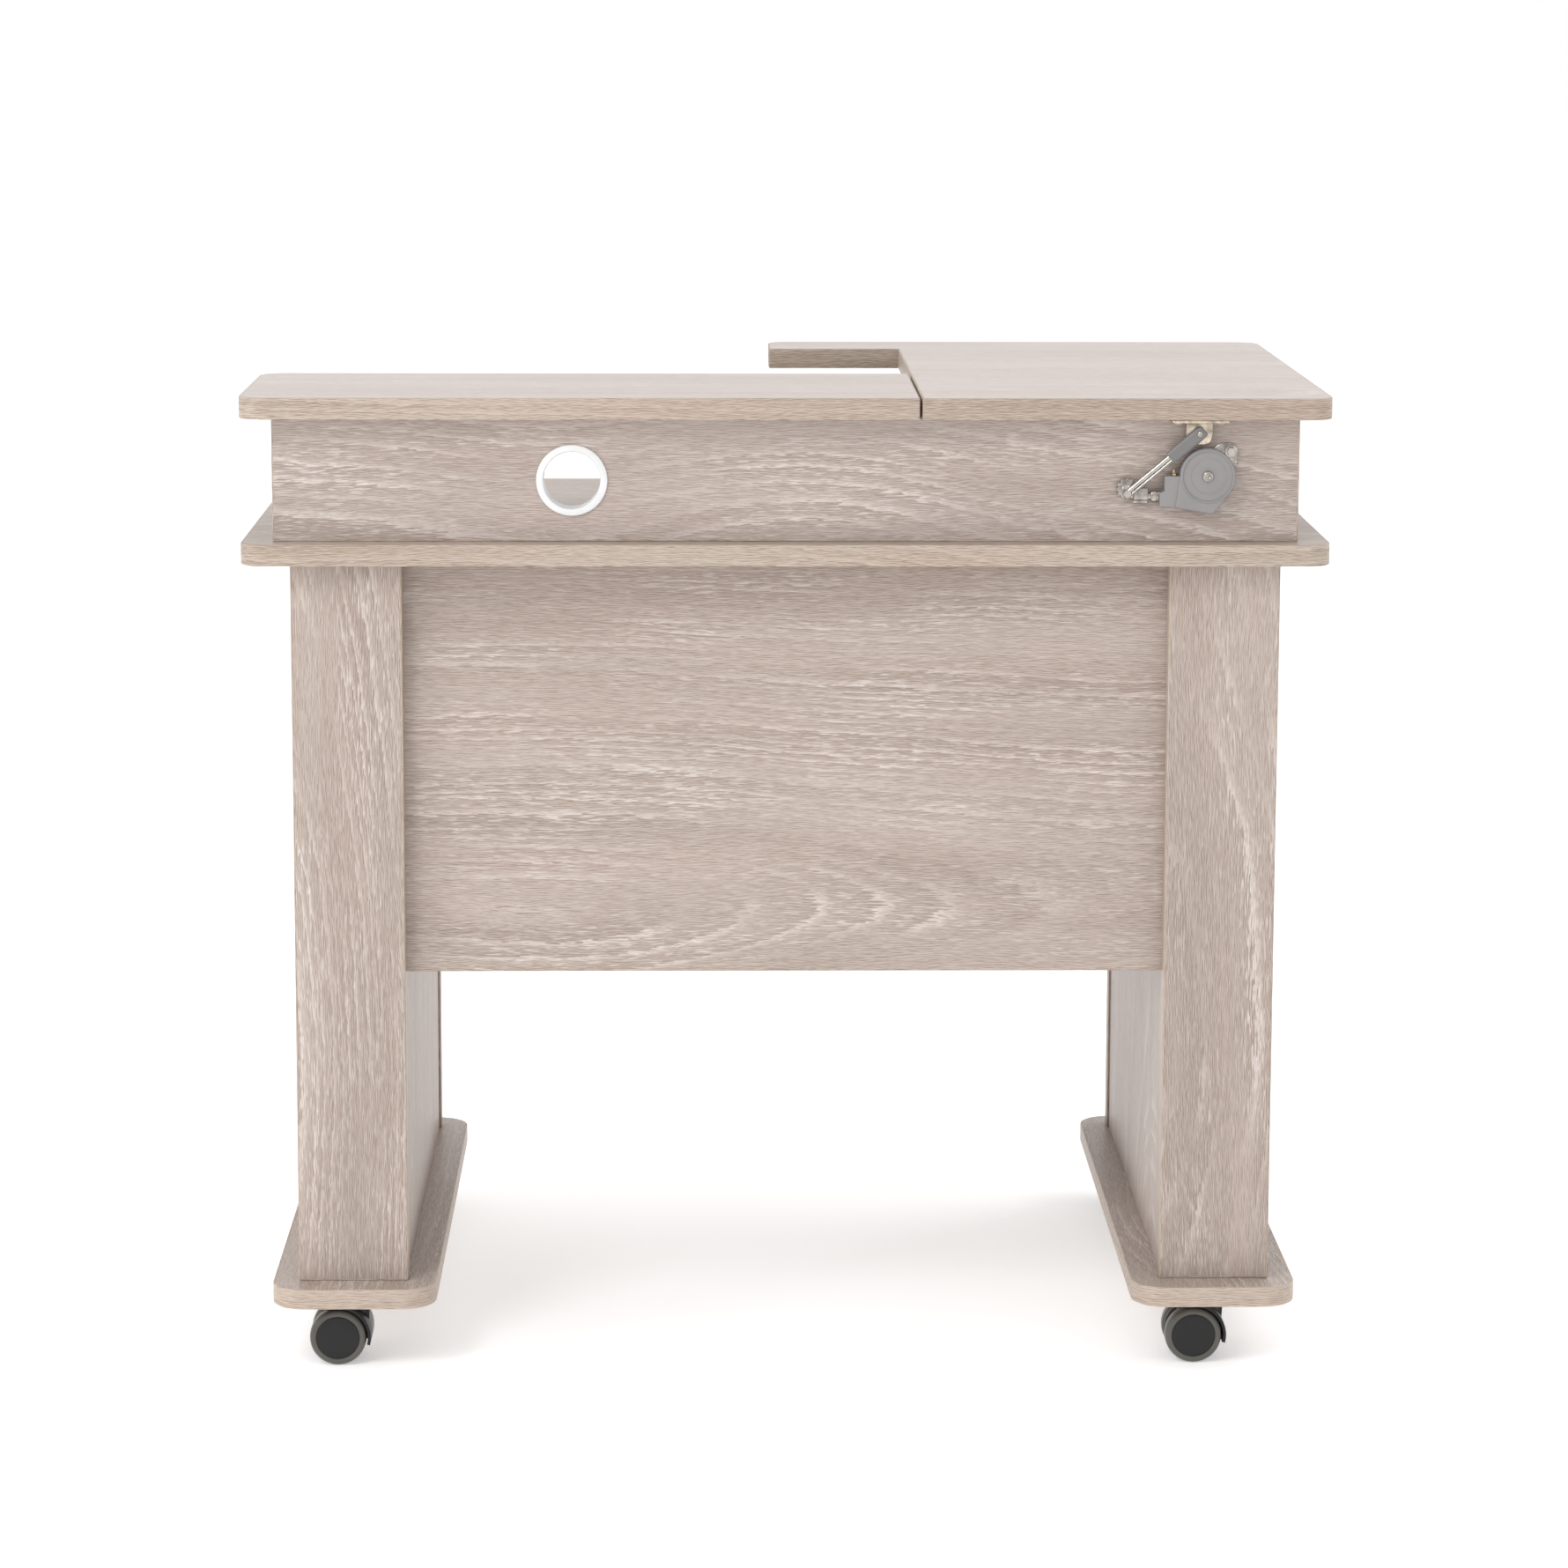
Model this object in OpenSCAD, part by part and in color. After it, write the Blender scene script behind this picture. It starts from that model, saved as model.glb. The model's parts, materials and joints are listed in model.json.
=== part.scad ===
// Sewing table on twin-wheel casters: two box-column legs carry a shallow open box.
// The box has a fixed rear top panel and an L-shaped lid hinged at its right end,
// which leaves a bay for the machine in front of the rear panel.
// Frame: origin on the floor at the middle of the footprint, +Z up, +X to the right
// and +Y towards the user, for someone who looks at the apron from behind the table.

/* [Tops] */
// Width of the tops and the lower board
top_w = 900; // [800:10:1000]
// Depth of the tops, back edge to front edge
top_d = 544; // [520:1:560]
// Height of the top surface above the floor
top_h = 825; // [780:1:880]
// Thickness of the tops and of every box and leg panel
board_t = 18; // [16:1:22]
// Radius of the tops' rounded corners
top_r = 20; // [10:1:30]
// X of the seam between the rear top panel and the lid
seam_x = 110; // [60:1:150]
// Width of the gap at that seam
seam_gap = 2; // [1:0.5:4]
// Depth of the rear top panel
rear_d = 221; // [180:1:240]
// X of the free end of the lid's front arm
arm_end_x = -8; // [-60:1:40]
// Width of the lid's front arm
arm_w = 77; // [60:1:100]

/* [Box] */
// Clear height between the lower board and the tops
box_h = 103; // [90:1:130]
// Half width of the box over its end panels
box_half = 424; // [415:1:430]
// How far the apron stands in from the tops' back edge
apron_inset = 21; // [18:1:30]
// Depth of the left end panel and the divider
short_panel_d = 180; // [120:1:200]
// Depth of the right end panel, which carries the hinges
long_panel_d = 480; // [400:1:490]
// Depth left out of the lower board between the legs, for the user's knees
knee_cut_d = 69; // [30:1:90]

/* [Legs and feet] */
// Outer X of the leg columns
leg_out = 410; // [400:1:415]
// Width of each leg column
leg_w = 92; // [80:1:110]
// Depth of each leg column
leg_d = 520; // [480:1:522]
// How far the leg side panels stand in from the edges of the leg face boards
side_inset = 2; // [1:0.5:4]
// Height of the modesty panel
modesty_h = 349; // [200:1:450]
// Length of each foot board
foot_l = 572; // [560:1:600]
// Width of each foot board
foot_w = 138; // [120:1:150]
// X of the outer edge of each foot board
foot_out = 432; // [425:1:440]
// Thickness of each foot board
foot_t = 17; // [16:1:22]
// Radius of the foot boards' corners
foot_r = 29; // [15:1:40]

/* [Casters] */
// Diameter of the caster wheels
wheel_d = 48; // [40:1:50]
// Height from the floor to the underside of the foot
caster_h = 57; // [57:1:70]
// Distance of the wheel axle from the swivel axis
caster_trail = 15; // [12:1:20]
// Width over each pair of wheels
caster_w = 44; // [40:1:48]
// Distance of the swivel axes from the middle of the foot's length
caster_y = 238; // [200:1:250]

/* [Cable hole] */
// X of the cable grommet
grommet_x = -177; // [-300:1:0]
// Outer diameter of the grommet's flange
grommet_d = 59; // [50:1:70]
// Clear bore of the grommet
grommet_bore = 47; // [40:1:60]

/* [Lid stay] */
// X of the pivot of the stay's round housing
stay_x = 347; // [340:1:355]
// Distance of that pivot below the top surface
stay_drop = 65; // [60:1:70]
// Radius of the round housing
stay_r = 23; // [18:1:24]

/* [Hidden] */
$fn = 64;

// colours
oak = "tan";
grey_plastic = "darkgray";
steel = "silver";
black_plastic = "dimgray";

// heights, from the floor up
foot_z = caster_h;
leg_z = foot_z + foot_t;
box_top = top_h - board_t;
shelf_z = box_top - box_h;
lower_z = shelf_z - board_t;
leg_h = lower_z - leg_z;

// depths: the feet are centred, and the tops start a little inside the feet's back ends
foot_back = -foot_l / 2;
top_back = foot_back + 7;
top_front = top_back + top_d;
apron_back = top_back + apron_inset;
apron_front = apron_back + board_t;
leg_back = apron_back;
leg_front = leg_back + leg_d;
arm_back = top_front - arm_w;
corner_cut_clear = 1;
leg_in = leg_out - leg_w;

// cable grommet
grommet_z = top_h - 70;
grommet_barrel_r = grommet_bore / 2 + 2;
grommet_flange_t = 2;

// screws
screw_r = 3;
screw_head_r = 5;
screw_head_h = 2.4;
screw_into = 30;
foot_screw_inset = 22;
leg_screw_y = 150;
caster_screw_r = 2;
caster_screw_into = 12;
small_head_h = 1;

// hinges: the axis runs along Y just outside the box's top right edge
hinge_off = 3;
hinge_x = box_half + hinge_off;
hinge_z = box_top - hinge_off;
hinge_l = 65;
hinge_leaf_w = 19;
hinge_leaf_t = 1.5;
hinge_barrel_r = 2.6;
hinge_pin_r = 1.5;
hinge_knuckles = 5;
hinge_y = [-150, 110];
knuckle_gap = 0.3;
leaf_clear = 3.4;
hinge_screw_r = 1.6;
hinge_screw_head_r = 2.9;
hinge_screw_into = 13;
hinge_screw_x = 11.4;
hinge_screw_y = [hinge_l / 5, hinge_l * 4 / 5];
running = 0.05;

// stay: pivots as [x, z], worked out from the housing's pivot
stay_z = top_h - stay_drop;
stay_pivot = [stay_x, stay_z];
lid_pivot = [stay_x - 7, box_top - 12];
knee_pivot = [stay_x - 66, stay_z - 15];
stay_bolt_at = [stay_x + 20, stay_z + 19.5];
stay_plate_t = 1.8;
stay_back = apron_back - stay_plate_t - 0.3;
stay_front = apron_back - 14;
stay_mid = (stay_back + stay_front) / 2;
stay_screw_r = 3;
stay_screw_head_r = 4.4;
stay_screw_into = 13;
stay_bolt_r = 2.5;
bolt_head_r = 3.8;
bolt_head_h = 3.2;
ear_w = 14.4;
stay_plate_r = 12;
rod_w = 5.6;
rod_groove_w = 2.2;
rod_groove_t = 2.5;
eye_over = 0.6;
rod_front = stay_front + 1;
rod_back = stay_front + 6;
sleeve_w = 9.6;
sleeve_l = 32;
knee_front = rod_back + 0.4;
knee_back = stay_back - 0.4;
knee_mid = (knee_front + knee_back) / 2;
knee_r = 9.2;
knee_hub_r = 4;
knee_tooth = 2.2;
// heel corners, block, adjuster and plunger, as [x, z] about the housing's pivot
heel = [[-stay_r - 3.5, -stay_r - 3], [1, -stay_r - 8], [5, -stay_r - 8], [13.5, -20], [20, -11]];
block_x = -39.5;
block_step_x = -35.5;
block_step_z = -12.5;
block_front = stay_front + 1.5;
block_back = stay_back - 0.5;
adjuster_x = -27.5;
adjuster_r = 1.3;
adjuster_h = 5;
plunger_x = block_x;
plunger_z = -17.5;
plunger_r = 5;
plunger_l = 9.5;
tab_l = 11.5;
tab_h = 10;
tab_t = 3;
lug_r = 10.8;
lug_front = rod_back + 0.5;
lug_back = lug_front + 2;
rivet_r = 2;
bracket_l = 48;
bracket_screw_x = 17.5;
bracket_t = 2.8;
bracket_back = apron_back - 1.5;
bracket_front = top_back + 3;

// casters
wheel_r = wheel_d / 2;
wheel_t = 15.5;
wheel_in = caster_w / 2 - wheel_t;
axle_r = 3;
kingpin_r = 3;
kingpin_low = 33;
mount_plate = 40;
mount_plate_t = 2;
mount_hole_pitch = 29;
hood_gap = 1;
hood_t = 3;
hood_top = caster_h - mount_plate_t - 2.7;
hood_over = 13.5;
hood_reach = 20;
hood_web_r = 13;
hub_cap_r = 18.2;
hub_cap_t = 3;
tread_edge_r = 3.5;
race_r = 9;
race_z = hood_top + 0.1;
swivel_x = foot_out - foot_w / 2;

// ---------------------------------------------------------------- shared shapes

// a straight panel given by its low and high corners
module panel(low, high) {
    translate(low) cube(high - low);
}

// the waste outside a rounded corner at p, whose board lies towards dir
module corner_waste(p, dir, r) {
    difference() {
        translate([p[0] - (dir[0] < 0 ? r : corner_cut_clear), p[1] - (dir[1] < 0 ? r : corner_cut_clear)])
            square(r + corner_cut_clear);
        translate([p[0] + dir[0] * r, p[1] + dir[1] * r]) circle(r = r);
    }
}

// a vertical shank with a pan head; up = 1 drives it upwards from its head at z = 0
module screw(shank_r, head_r, head_h, into, up) {
    mirror([0, 0, up > 0 ? 0 : 1]) {
        translate([0, 0, -head_h]) cylinder(r = head_r, h = head_h);
        cylinder(r = shank_r, h = into);
    }
}

// a bar with round ends between two [x, z] points, from y0 to y1
module link(a, b, w, y0, y1) {
    d = b - a;
    translate([a[0], y1, a[1]]) rotate([90, 0, 0]) linear_extrude(height = y1 - y0) {
        circle(r = w / 2);
        translate(d) circle(r = w / 2);
        rotate(atan2(d[1], d[0])) translate([0, -w / 2]) square([norm(d), w]);
    }
}

// a cylinder along Y at an [x, z] point, from y0 to y1
module y_pin(p, r, y0, y1, sides = 64) {
    translate([p[0], y1, p[1]]) rotate([90, 0, 0]) cylinder(r = r, h = y1 - y0, $fn = sides);
}

// ---------------------------------------------------------------- tops and box

module top_rear() {
    x0 = -top_w / 2;
    x1 = seam_x - seam_gap / 2;
    y1 = top_back + rear_d;
    color(oak) translate([0, 0, box_top]) linear_extrude(height = board_t) difference() {
        translate([x0, top_back]) square([x1 - x0, rear_d]);
        corner_waste([x0, top_back], [1, 1], top_r);
        corner_waste([x0, y1], [1, -1], top_r);
    }
}

module top_lid() {
    x0 = seam_x + seam_gap / 2;
    x1 = top_w / 2;
    color(oak) difference() {
        translate([0, 0, box_top]) linear_extrude(height = board_t) difference() {
            union() {
                translate([x0, top_back]) square([x1 - x0, top_d]);
                translate([arm_end_x, arm_back]) square([x0 - arm_end_x + 1, arm_w]);
            }
            corner_waste([x1, top_back], [-1, 1], top_r);
            corner_waste([x1, top_front], [-1, -1], top_r);
            corner_waste([arm_end_x, top_front], [1, -1], top_r);
        }
        lid_hinge_screw_places() cylinder(r = hinge_screw_r, h = hinge_screw_into);
        bracket_screw_places() cylinder(r = hinge_screw_r, h = hinge_screw_into);
    }
}

module lower_board() {
    x0 = -top_w / 2;
    color(oak) difference() {
        translate([0, 0, lower_z]) linear_extrude(height = board_t) difference() {
            translate([x0, top_back]) square([top_w, top_d]);
            for (sx = [-1, 1], sy = [0, 1])
                corner_waste([sx * top_w / 2, sy == 0 ? top_back : top_front], [-sx, sy == 0 ? 1 : -1], top_r);
            translate([-leg_in, top_front - knee_cut_d]) square([2 * leg_in, knee_cut_d + 1]);
        }
        leg_screw_places() translate([0, 0, -board_t - 1]) cylinder(r = screw_r, h = board_t + 2);
        leg_screw_places() translate([0, 0, -screw_head_h]) cylinder(r = screw_head_r, h = screw_head_h + 1);
    }
}

module apron() {
    color(oak) difference() {
        panel([-box_half, apron_back, shelf_z], [box_half, apron_front, box_top]);
        y_pin([grommet_x, grommet_z], grommet_barrel_r, apron_back - 1, apron_front + 1);
        y_pin(stay_pivot, stay_screw_r, apron_back - 1, apron_back + stay_screw_into);
        y_pin(stay_bolt_at, stay_bolt_r, apron_back - 1, apron_back + stay_screw_into);
    }
}

module box_end_left() {
    color(oak) panel([-box_half, apron_front, shelf_z],
                     [-box_half + board_t, apron_front + short_panel_d, box_top]);
}

module box_end_right() {
    color(oak) difference() {
        panel([box_half - board_t, apron_front, shelf_z], [box_half, apron_front + long_panel_d, box_top]);
        hinge_screw_places() mirror([0, 0, 1]) cylinder(r = hinge_screw_r, h = hinge_screw_into);
    }
}

module box_divider() {
    color(oak) panel([seam_x - board_t / 2, apron_front, shelf_z],
                     [seam_x + board_t / 2, apron_front + short_panel_d, box_top]);
}

// ---------------------------------------------------------------- cable grommet

module grommet() {
    color("white") difference() {
        union() {
            y_pin([grommet_x, grommet_z], grommet_d / 2, apron_back - grommet_flange_t, apron_back);
            y_pin([grommet_x, grommet_z], grommet_barrel_r, apron_back, apron_front + 1);
        }
        y_pin([grommet_x, grommet_z], grommet_bore / 2, apron_back - grommet_flange_t - 1, apron_front + 2);
    }
}

// ---------------------------------------------------------------- legs

// where the screws pass down through the lower board into a leg's side panels
module leg_screw_places() {
    for (sx = [-1, 1], sy = [-1, 1])
        for (x = [leg_in + side_inset + board_t / 2, leg_out - side_inset - board_t / 2])
            translate([sx * x, sy * leg_screw_y, shelf_z]) children();
}

// where the screws pass up through the feet into the leg face boards
module foot_screw_places() {
    for (sx = [-1, 1], y = [leg_back + board_t / 2, leg_front - board_t / 2])
        for (dx = [foot_screw_inset, leg_w - foot_screw_inset])
            translate([sx * (leg_in + dx), y, foot_z]) children();
}

// a leg face board; side is -1 for the left leg and 1 for the right, y is its back face
module leg_face(side, y) {
    x = side < 0 ? -leg_out : leg_in;
    color(oak) difference() {
        panel([x, y, leg_z], [x + leg_w, y + board_t, lower_z]);
        foot_screw_places() cylinder(r = screw_r, h = foot_t + screw_into);
    }
}

// a leg side panel between the two face boards; x is its low X
module leg_side(x) {
    color(oak) difference() {
        panel([x, leg_back + board_t, leg_z], [x + board_t, leg_front - board_t, lower_z]);
        leg_screw_places() mirror([0, 0, 1]) cylinder(r = screw_r, h = board_t + screw_into);
    }
}

module leg_left_back() { leg_face(-1, leg_back); }
module leg_left_front() { leg_face(-1, leg_front - board_t); }
module leg_left_inner() { leg_side(-leg_in - side_inset - board_t); }
module leg_left_outer() { leg_side(-leg_out + side_inset); }
module leg_right_back() { leg_face(1, leg_back); }
module leg_right_front() { leg_face(1, leg_front - board_t); }
module leg_right_inner() { leg_side(leg_in + side_inset); }
module leg_right_outer() { leg_side(leg_out - side_inset - board_t); }

module modesty_panel() {
    half = leg_in + side_inset;
    color(oak) panel([-half, leg_back + board_t, lower_z - modesty_h], [half, leg_back + 2 * board_t, lower_z]);
}

// ---------------------------------------------------------------- feet and their screws

module foot(side) {
    x0 = side < 0 ? -foot_out : foot_out - foot_w;
    x1 = x0 + foot_w;
    color(oak) difference() {
        translate([0, 0, foot_z]) linear_extrude(height = foot_t) difference() {
            translate([x0, foot_back]) square([foot_w, foot_l]);
            for (x = [x0, x1], y = [foot_back, -foot_back])
                corner_waste([x, y], [x == x0 ? 1 : -1, y < 0 ? 1 : -1], foot_r);
        }
        foot_screw_places() translate([0, 0, -1]) cylinder(r = screw_r, h = foot_t + 2);
        foot_screw_places() translate([0, 0, -1]) cylinder(r = screw_head_r, h = screw_head_h + 1);
        for (sy = [-1, 1]) caster_place(side, sy) caster_screw_places()
            cylinder(r = caster_screw_r, h = caster_screw_into);
    }
}

module foot_left() { foot(-1); }
module foot_right() { foot(1); }

module foot_screws() {
    color(steel) foot_screw_places() translate([0, 0, screw_head_h])
        screw(screw_r, screw_head_r, screw_head_h, foot_t + screw_into - screw_head_h - 2, 1);
}

module leg_screws() {
    color(steel) leg_screw_places() translate([0, 0, -screw_head_h])
        screw(screw_r, screw_head_r, screw_head_h, board_t + screw_into - screw_head_h - 2, -1);
}

// ---------------------------------------------------------------- hinges

// one leaf lying level on +X from its barrel along Y; it owns the knuckles of one parity
module hinge_leaf(parity) {
    step = hinge_l / hinge_knuckles;
    length = step - knuckle_gap;
    plate_z = hinge_off - hinge_leaf_t;
    difference() {
        union() {
            translate([leaf_clear, 0, plate_z]) cube([hinge_leaf_w - leaf_clear, hinge_l, hinge_leaf_t]);
            for (k = [parity : 2 : hinge_knuckles - 1]) translate([0, k * step + knuckle_gap / 2, 0]) {
                rotate([-90, 0, 0]) cylinder(r = hinge_barrel_r, h = length);
                translate([0, 0, plate_z]) cube([leaf_clear + 1, length, hinge_leaf_t]);
            }
        }
        translate([0, -1, 0]) rotate([-90, 0, 0])
            cylinder(r = hinge_pin_r + parity * running, h = hinge_l + 2);
        for (y = hinge_screw_y) translate([hinge_screw_x, y, 0]) cylinder(r = hinge_screw_r, h = hinge_off + 1);
    }
}

module hinge_place() {
    for (y = hinge_y) translate([hinge_x, y, hinge_z]) children();
}

// the box leaf is the level leaf turned down against the end panel's outer face
module hinge_leaves_box() {
    color(steel) hinge_place() mirror([1, 0, 0]) rotate([0, 90, 0]) hinge_leaf(0);
}

module hinge_leaves_lid() {
    color(steel) hinge_place() hinge_leaf(1);
}

module hinge_pins() {
    color(steel) hinge_place() rotate([-90, 0, 0]) cylinder(r = hinge_pin_r, h = hinge_l);
}

// screw places on the end panel's outer face, with +Z pointing out of it
module hinge_screw_places() {
    for (y = hinge_y, s = hinge_screw_y)
        translate([box_half, y + s, hinge_z - hinge_screw_x]) rotate([0, 90, 0]) children();
}

// screw places on the lid's underside, with +Z pointing up into the lid
module lid_hinge_screw_places() {
    for (y = hinge_y, s = hinge_screw_y)
        translate([hinge_x + hinge_screw_x, y + s, box_top]) children();
}

module bracket_screw_places() {
    for (sx = [-1, 1])
        translate([lid_pivot[0] + sx * bracket_screw_x, (bracket_back + bracket_front) / 2, box_top]) children();
}

module hinge_screws() {
    color(steel) hinge_screw_places() translate([0, 0, hinge_leaf_t])
        screw(hinge_screw_r, hinge_screw_head_r, small_head_h, hinge_screw_into - 1, -1);
}

module lid_screws() {
    color(steel) {
        lid_hinge_screw_places() translate([0, 0, -hinge_leaf_t])
            screw(hinge_screw_r, hinge_screw_head_r, small_head_h, hinge_screw_into - 1, 1);
        bracket_screw_places() translate([0, 0, -bracket_t])
            screw(hinge_screw_r, hinge_screw_head_r, small_head_h, hinge_screw_into - 1, 1);
    }
}

// ---------------------------------------------------------------- lid stay

module stay_plate() {
    y0 = apron_back - stay_plate_t;
    color(steel) difference() {
        union() {
            y_pin(stay_pivot, stay_plate_r, y0, apron_back);
            link(stay_pivot, stay_bolt_at, ear_w, y0, apron_back);
        }
        y_pin(stay_pivot, stay_screw_r, y0 - 1, apron_back + 1);
        y_pin(stay_bolt_at, stay_bolt_r, y0 - 1, apron_back + 1);
    }
}

module stay_bolt() {
    seat = apron_back - stay_plate_t;
    color(steel) {
        y_pin(stay_bolt_at, bolt_head_r, seat - bolt_head_h, seat, 6);
        y_pin(stay_bolt_at, stay_bolt_r, seat, apron_back + stay_screw_into - 1);
    }
}

module stay_pivot_screw() {
    seat = stay_front - 0.1;
    color(steel) {
        y_pin(stay_pivot, stay_screw_head_r, seat - 1.2, seat);
        y_pin(stay_pivot, stay_screw_r, seat, apron_back + stay_screw_into - 1);
    }
}

// the round housing, with the straight-sided heel that carries the arm
module stay_housing() {
    color(grey_plastic) difference() {
        translate([stay_x, stay_back, stay_z]) rotate([90, 0, 0]) linear_extrude(height = stay_back - stay_front) {
            circle(r = stay_r);
            polygon([[0, 0], [-stay_r, 0], heel[0], heel[1], heel[2], heel[3], heel[4]]);
        }
        y_pin(stay_pivot, stay_screw_r + running, stay_front - 1, stay_back + 1);
    }
}

// the block on the heel's straight side that holds the adjuster and the plunger
module stay_block() {
    low = heel[0][1] + 0.5;
    side = -stay_r + (heel[0][0] + stay_r) * low / heel[0][1];
    color(grey_plastic) translate([stay_x, block_back, stay_z]) rotate([90, 0, 0])
        linear_extrude(height = block_back - block_front)
            polygon([[-stay_r, 0], [side, low], [block_x, low], [block_x, block_step_z - 1.5],
                     [block_step_x, block_step_z], [block_step_x, 0]]);
}

module stay_adjuster() {
    color("goldenrod") translate([stay_x + adjuster_x, stay_mid, stay_z]) {
        cylinder(r = adjuster_r, h = adjuster_h);
        cylinder(r = adjuster_r + 0.8, h = adjuster_h - 2.5);
    }
}

// the plated plunger that comes out of the block, flattened front and back, and ends in a flat tab
module stay_plunger() {
    tab_x = plunger_x - plunger_l;
    color(steel) {
        intersection() {
            translate([stay_x + plunger_x, knee_mid, stay_z + plunger_z]) rotate([0, -90, 0])
                cylinder(r = plunger_r, h = plunger_l);
            panel([stay_x + tab_x - 1, knee_front, stay_z + plunger_z - 2 * plunger_r],
                  [stay_x + plunger_x + 1, knee_back, stay_z + plunger_z + 2 * plunger_r]);
        }
        translate([stay_x + tab_x - tab_l, knee_mid - tab_t / 2, stay_z + plunger_z - 3])
            cube([tab_l, tab_t, tab_h]);
    }
}

// the knee's toothed cheek, which the tab runs into
module stay_knee() {
    centre = knee_pivot + [0, 4];
    color(steel) difference() {
        union() {
            translate([centre[0], knee_back, centre[1]]) rotate([90, 0, 0])
                linear_extrude(height = knee_back - knee_front - 1.5) {
                    circle(r = knee_r - knee_tooth);
                    for (a = [0 : 30 : 330]) rotate(a) translate([0, -knee_tooth / 2]) square([knee_r, knee_tooth]);
                }
            y_pin(centre, knee_hub_r, knee_front, knee_back);
        }
        panel([stay_x + plunger_x - plunger_l - tab_l, knee_mid - tab_t / 2, stay_z + plunger_z - 3],
              [stay_x, knee_mid + tab_t / 2, stay_z + plunger_z - 3 + tab_h]);
    }
}

// where the sleeve ends and the bare rod begins
function rod_split() = lid_pivot + (knee_pivot - lid_pivot) * sleeve_l / norm(knee_pivot - lid_pivot);

// a bar from an eye at a to a flat end at b, both [x, z]; the eye is a little wider than the bar
module bar(a, b, w, y0, y1) {
    d = b - a;
    translate([a[0], y1, a[1]]) rotate([90, 0, 0]) linear_extrude(height = y1 - y0) {
        circle(r = w / 2 + eye_over);
        rotate(atan2(d[1], d[0])) translate([0, -w / 2]) square([norm(d), w]);
    }
}

module stay_rod() {
    d = rod_split() - knee_pivot;
    color(steel) difference() {
        bar(knee_pivot, rod_split(), rod_w, rod_front, rod_back);
        translate([knee_pivot[0], rod_front + rod_groove_t, knee_pivot[1]]) rotate([90, 0, 0])
            linear_extrude(height = rod_groove_t + 1) rotate(atan2(d[1], d[0]))
                translate([rod_w, -rod_groove_w / 2]) square([norm(d), rod_groove_w]);
    }
}

module stay_sleeve() {
    color(grey_plastic) difference() {
        bar(lid_pivot, rod_split(), sleeve_w, stay_front, rod_back);
        y_pin(lid_pivot, rivet_r + running, stay_front - 1, rod_back + 1);
    }
}

module stay_lid_bracket() {
    color(steel) {
        difference() {
            panel([lid_pivot[0] - bracket_l / 2, bracket_front, box_top - bracket_t],
                  [lid_pivot[0] + bracket_l / 2, bracket_back, box_top]);
            bracket_screw_places() translate([0, 0, -bracket_t - 1])
                cylinder(r = hinge_screw_r, h = bracket_t + 2);
        }
        difference() {
            union() {
                y_pin(lid_pivot, lug_r, lug_front, lug_back);
                panel([lid_pivot[0] - lug_r, lug_front, lid_pivot[1]],
                      [lid_pivot[0] + lug_r, lug_back, box_top - bracket_t]);
            }
            y_pin(lid_pivot, rivet_r, lug_front - 1, lug_back + 1);
        }
    }
}

module stay_rivet() {
    color(steel) {
        y_pin(lid_pivot, rivet_r, stay_front - 0.1, lug_back);
        y_pin(lid_pivot, rivet_r + 1, stay_front - 1, stay_front - 0.1);
    }
}

// ---------------------------------------------------------------- casters

// side is -1 left or 1 right, end is -1 back or 1 front
module caster_place(side, end) {
    translate([side * swivel_x, end * caster_y, 0]) children();
}

module caster_screw_places() {
    for (dx = [-1, 1], dy = [-1, 1])
        translate([dx * mount_hole_pitch / 2, dy * mount_hole_pitch / 2, foot_z]) children();
}

module caster_screws() {
    color(steel) for (side = [-1, 1], end = [-1, 1]) caster_place(side, end) caster_screw_places()
        translate([0, 0, -mount_plate_t])
            screw(caster_screw_r, caster_screw_r + 1.6, 1.6, mount_plate_t + caster_screw_into - 1, 1);
}

// the plate under the foot, with its bearing race and kingpin
module caster_mount() {
    color(steel) difference() {
        union() {
            translate([-mount_plate / 2, -mount_plate / 2, caster_h - mount_plate_t])
                cube([mount_plate, mount_plate, mount_plate_t]);
            translate([0, 0, race_z]) cylinder(r = race_r, h = caster_h - mount_plate_t - race_z);
            translate([0, 0, kingpin_low]) cylinder(r = kingpin_r, h = race_z - kingpin_low);
        }
        caster_screw_places() translate([0, 0, -mount_plate_t - 1]) cylinder(r = caster_screw_r, h = mount_plate_t + 2);
    }
}

// outline of the hood in [x, z] about the axle: web, top, and the fender on the swivel's side
module hood_outline() {
    top = hood_top - wheel_r;
    side = caster_trail + hood_over;
    circle(r = hood_web_r);
    translate([-hood_reach, wheel_r - 3]) square([hood_reach, top - wheel_r + 3]);
    translate([0, 5]) square([side, top - 5]);
    intersection() {
        circle(r = wheel_r + hood_gap + hood_t);
        translate([0, -8]) square([side, 20]);
    }
}

module caster_hood() {
    web = wheel_in - 0.5;
    wide = caster_w - 2;
    color(black_plastic) difference() {
        translate([-caster_trail, wide / 2, wheel_r]) rotate([90, 0, 0]) linear_extrude(height = wide) hood_outline();
        for (s = [-1, 1]) translate([-caster_trail, s * (web + wide / 2), wheel_r]) rotate([90, 0, 0])
            cylinder(r = wheel_r + hood_gap, h = wide, center = true);
        translate([-caster_trail, 0, wheel_r]) rotate([90, 0, 0]) cylinder(r = axle_r, h = wide, center = true);
        translate([0, 0, kingpin_low - 1]) cylinder(r = kingpin_r + running, h = hood_top);
    }
}

module caster_axle() {
    color(steel) translate([-caster_trail, 0, wheel_r]) rotate([90, 0, 0])
        cylinder(r = axle_r, h = 2 * (wheel_in + wheel_t - hub_cap_t - 0.5), center = true);
}

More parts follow.
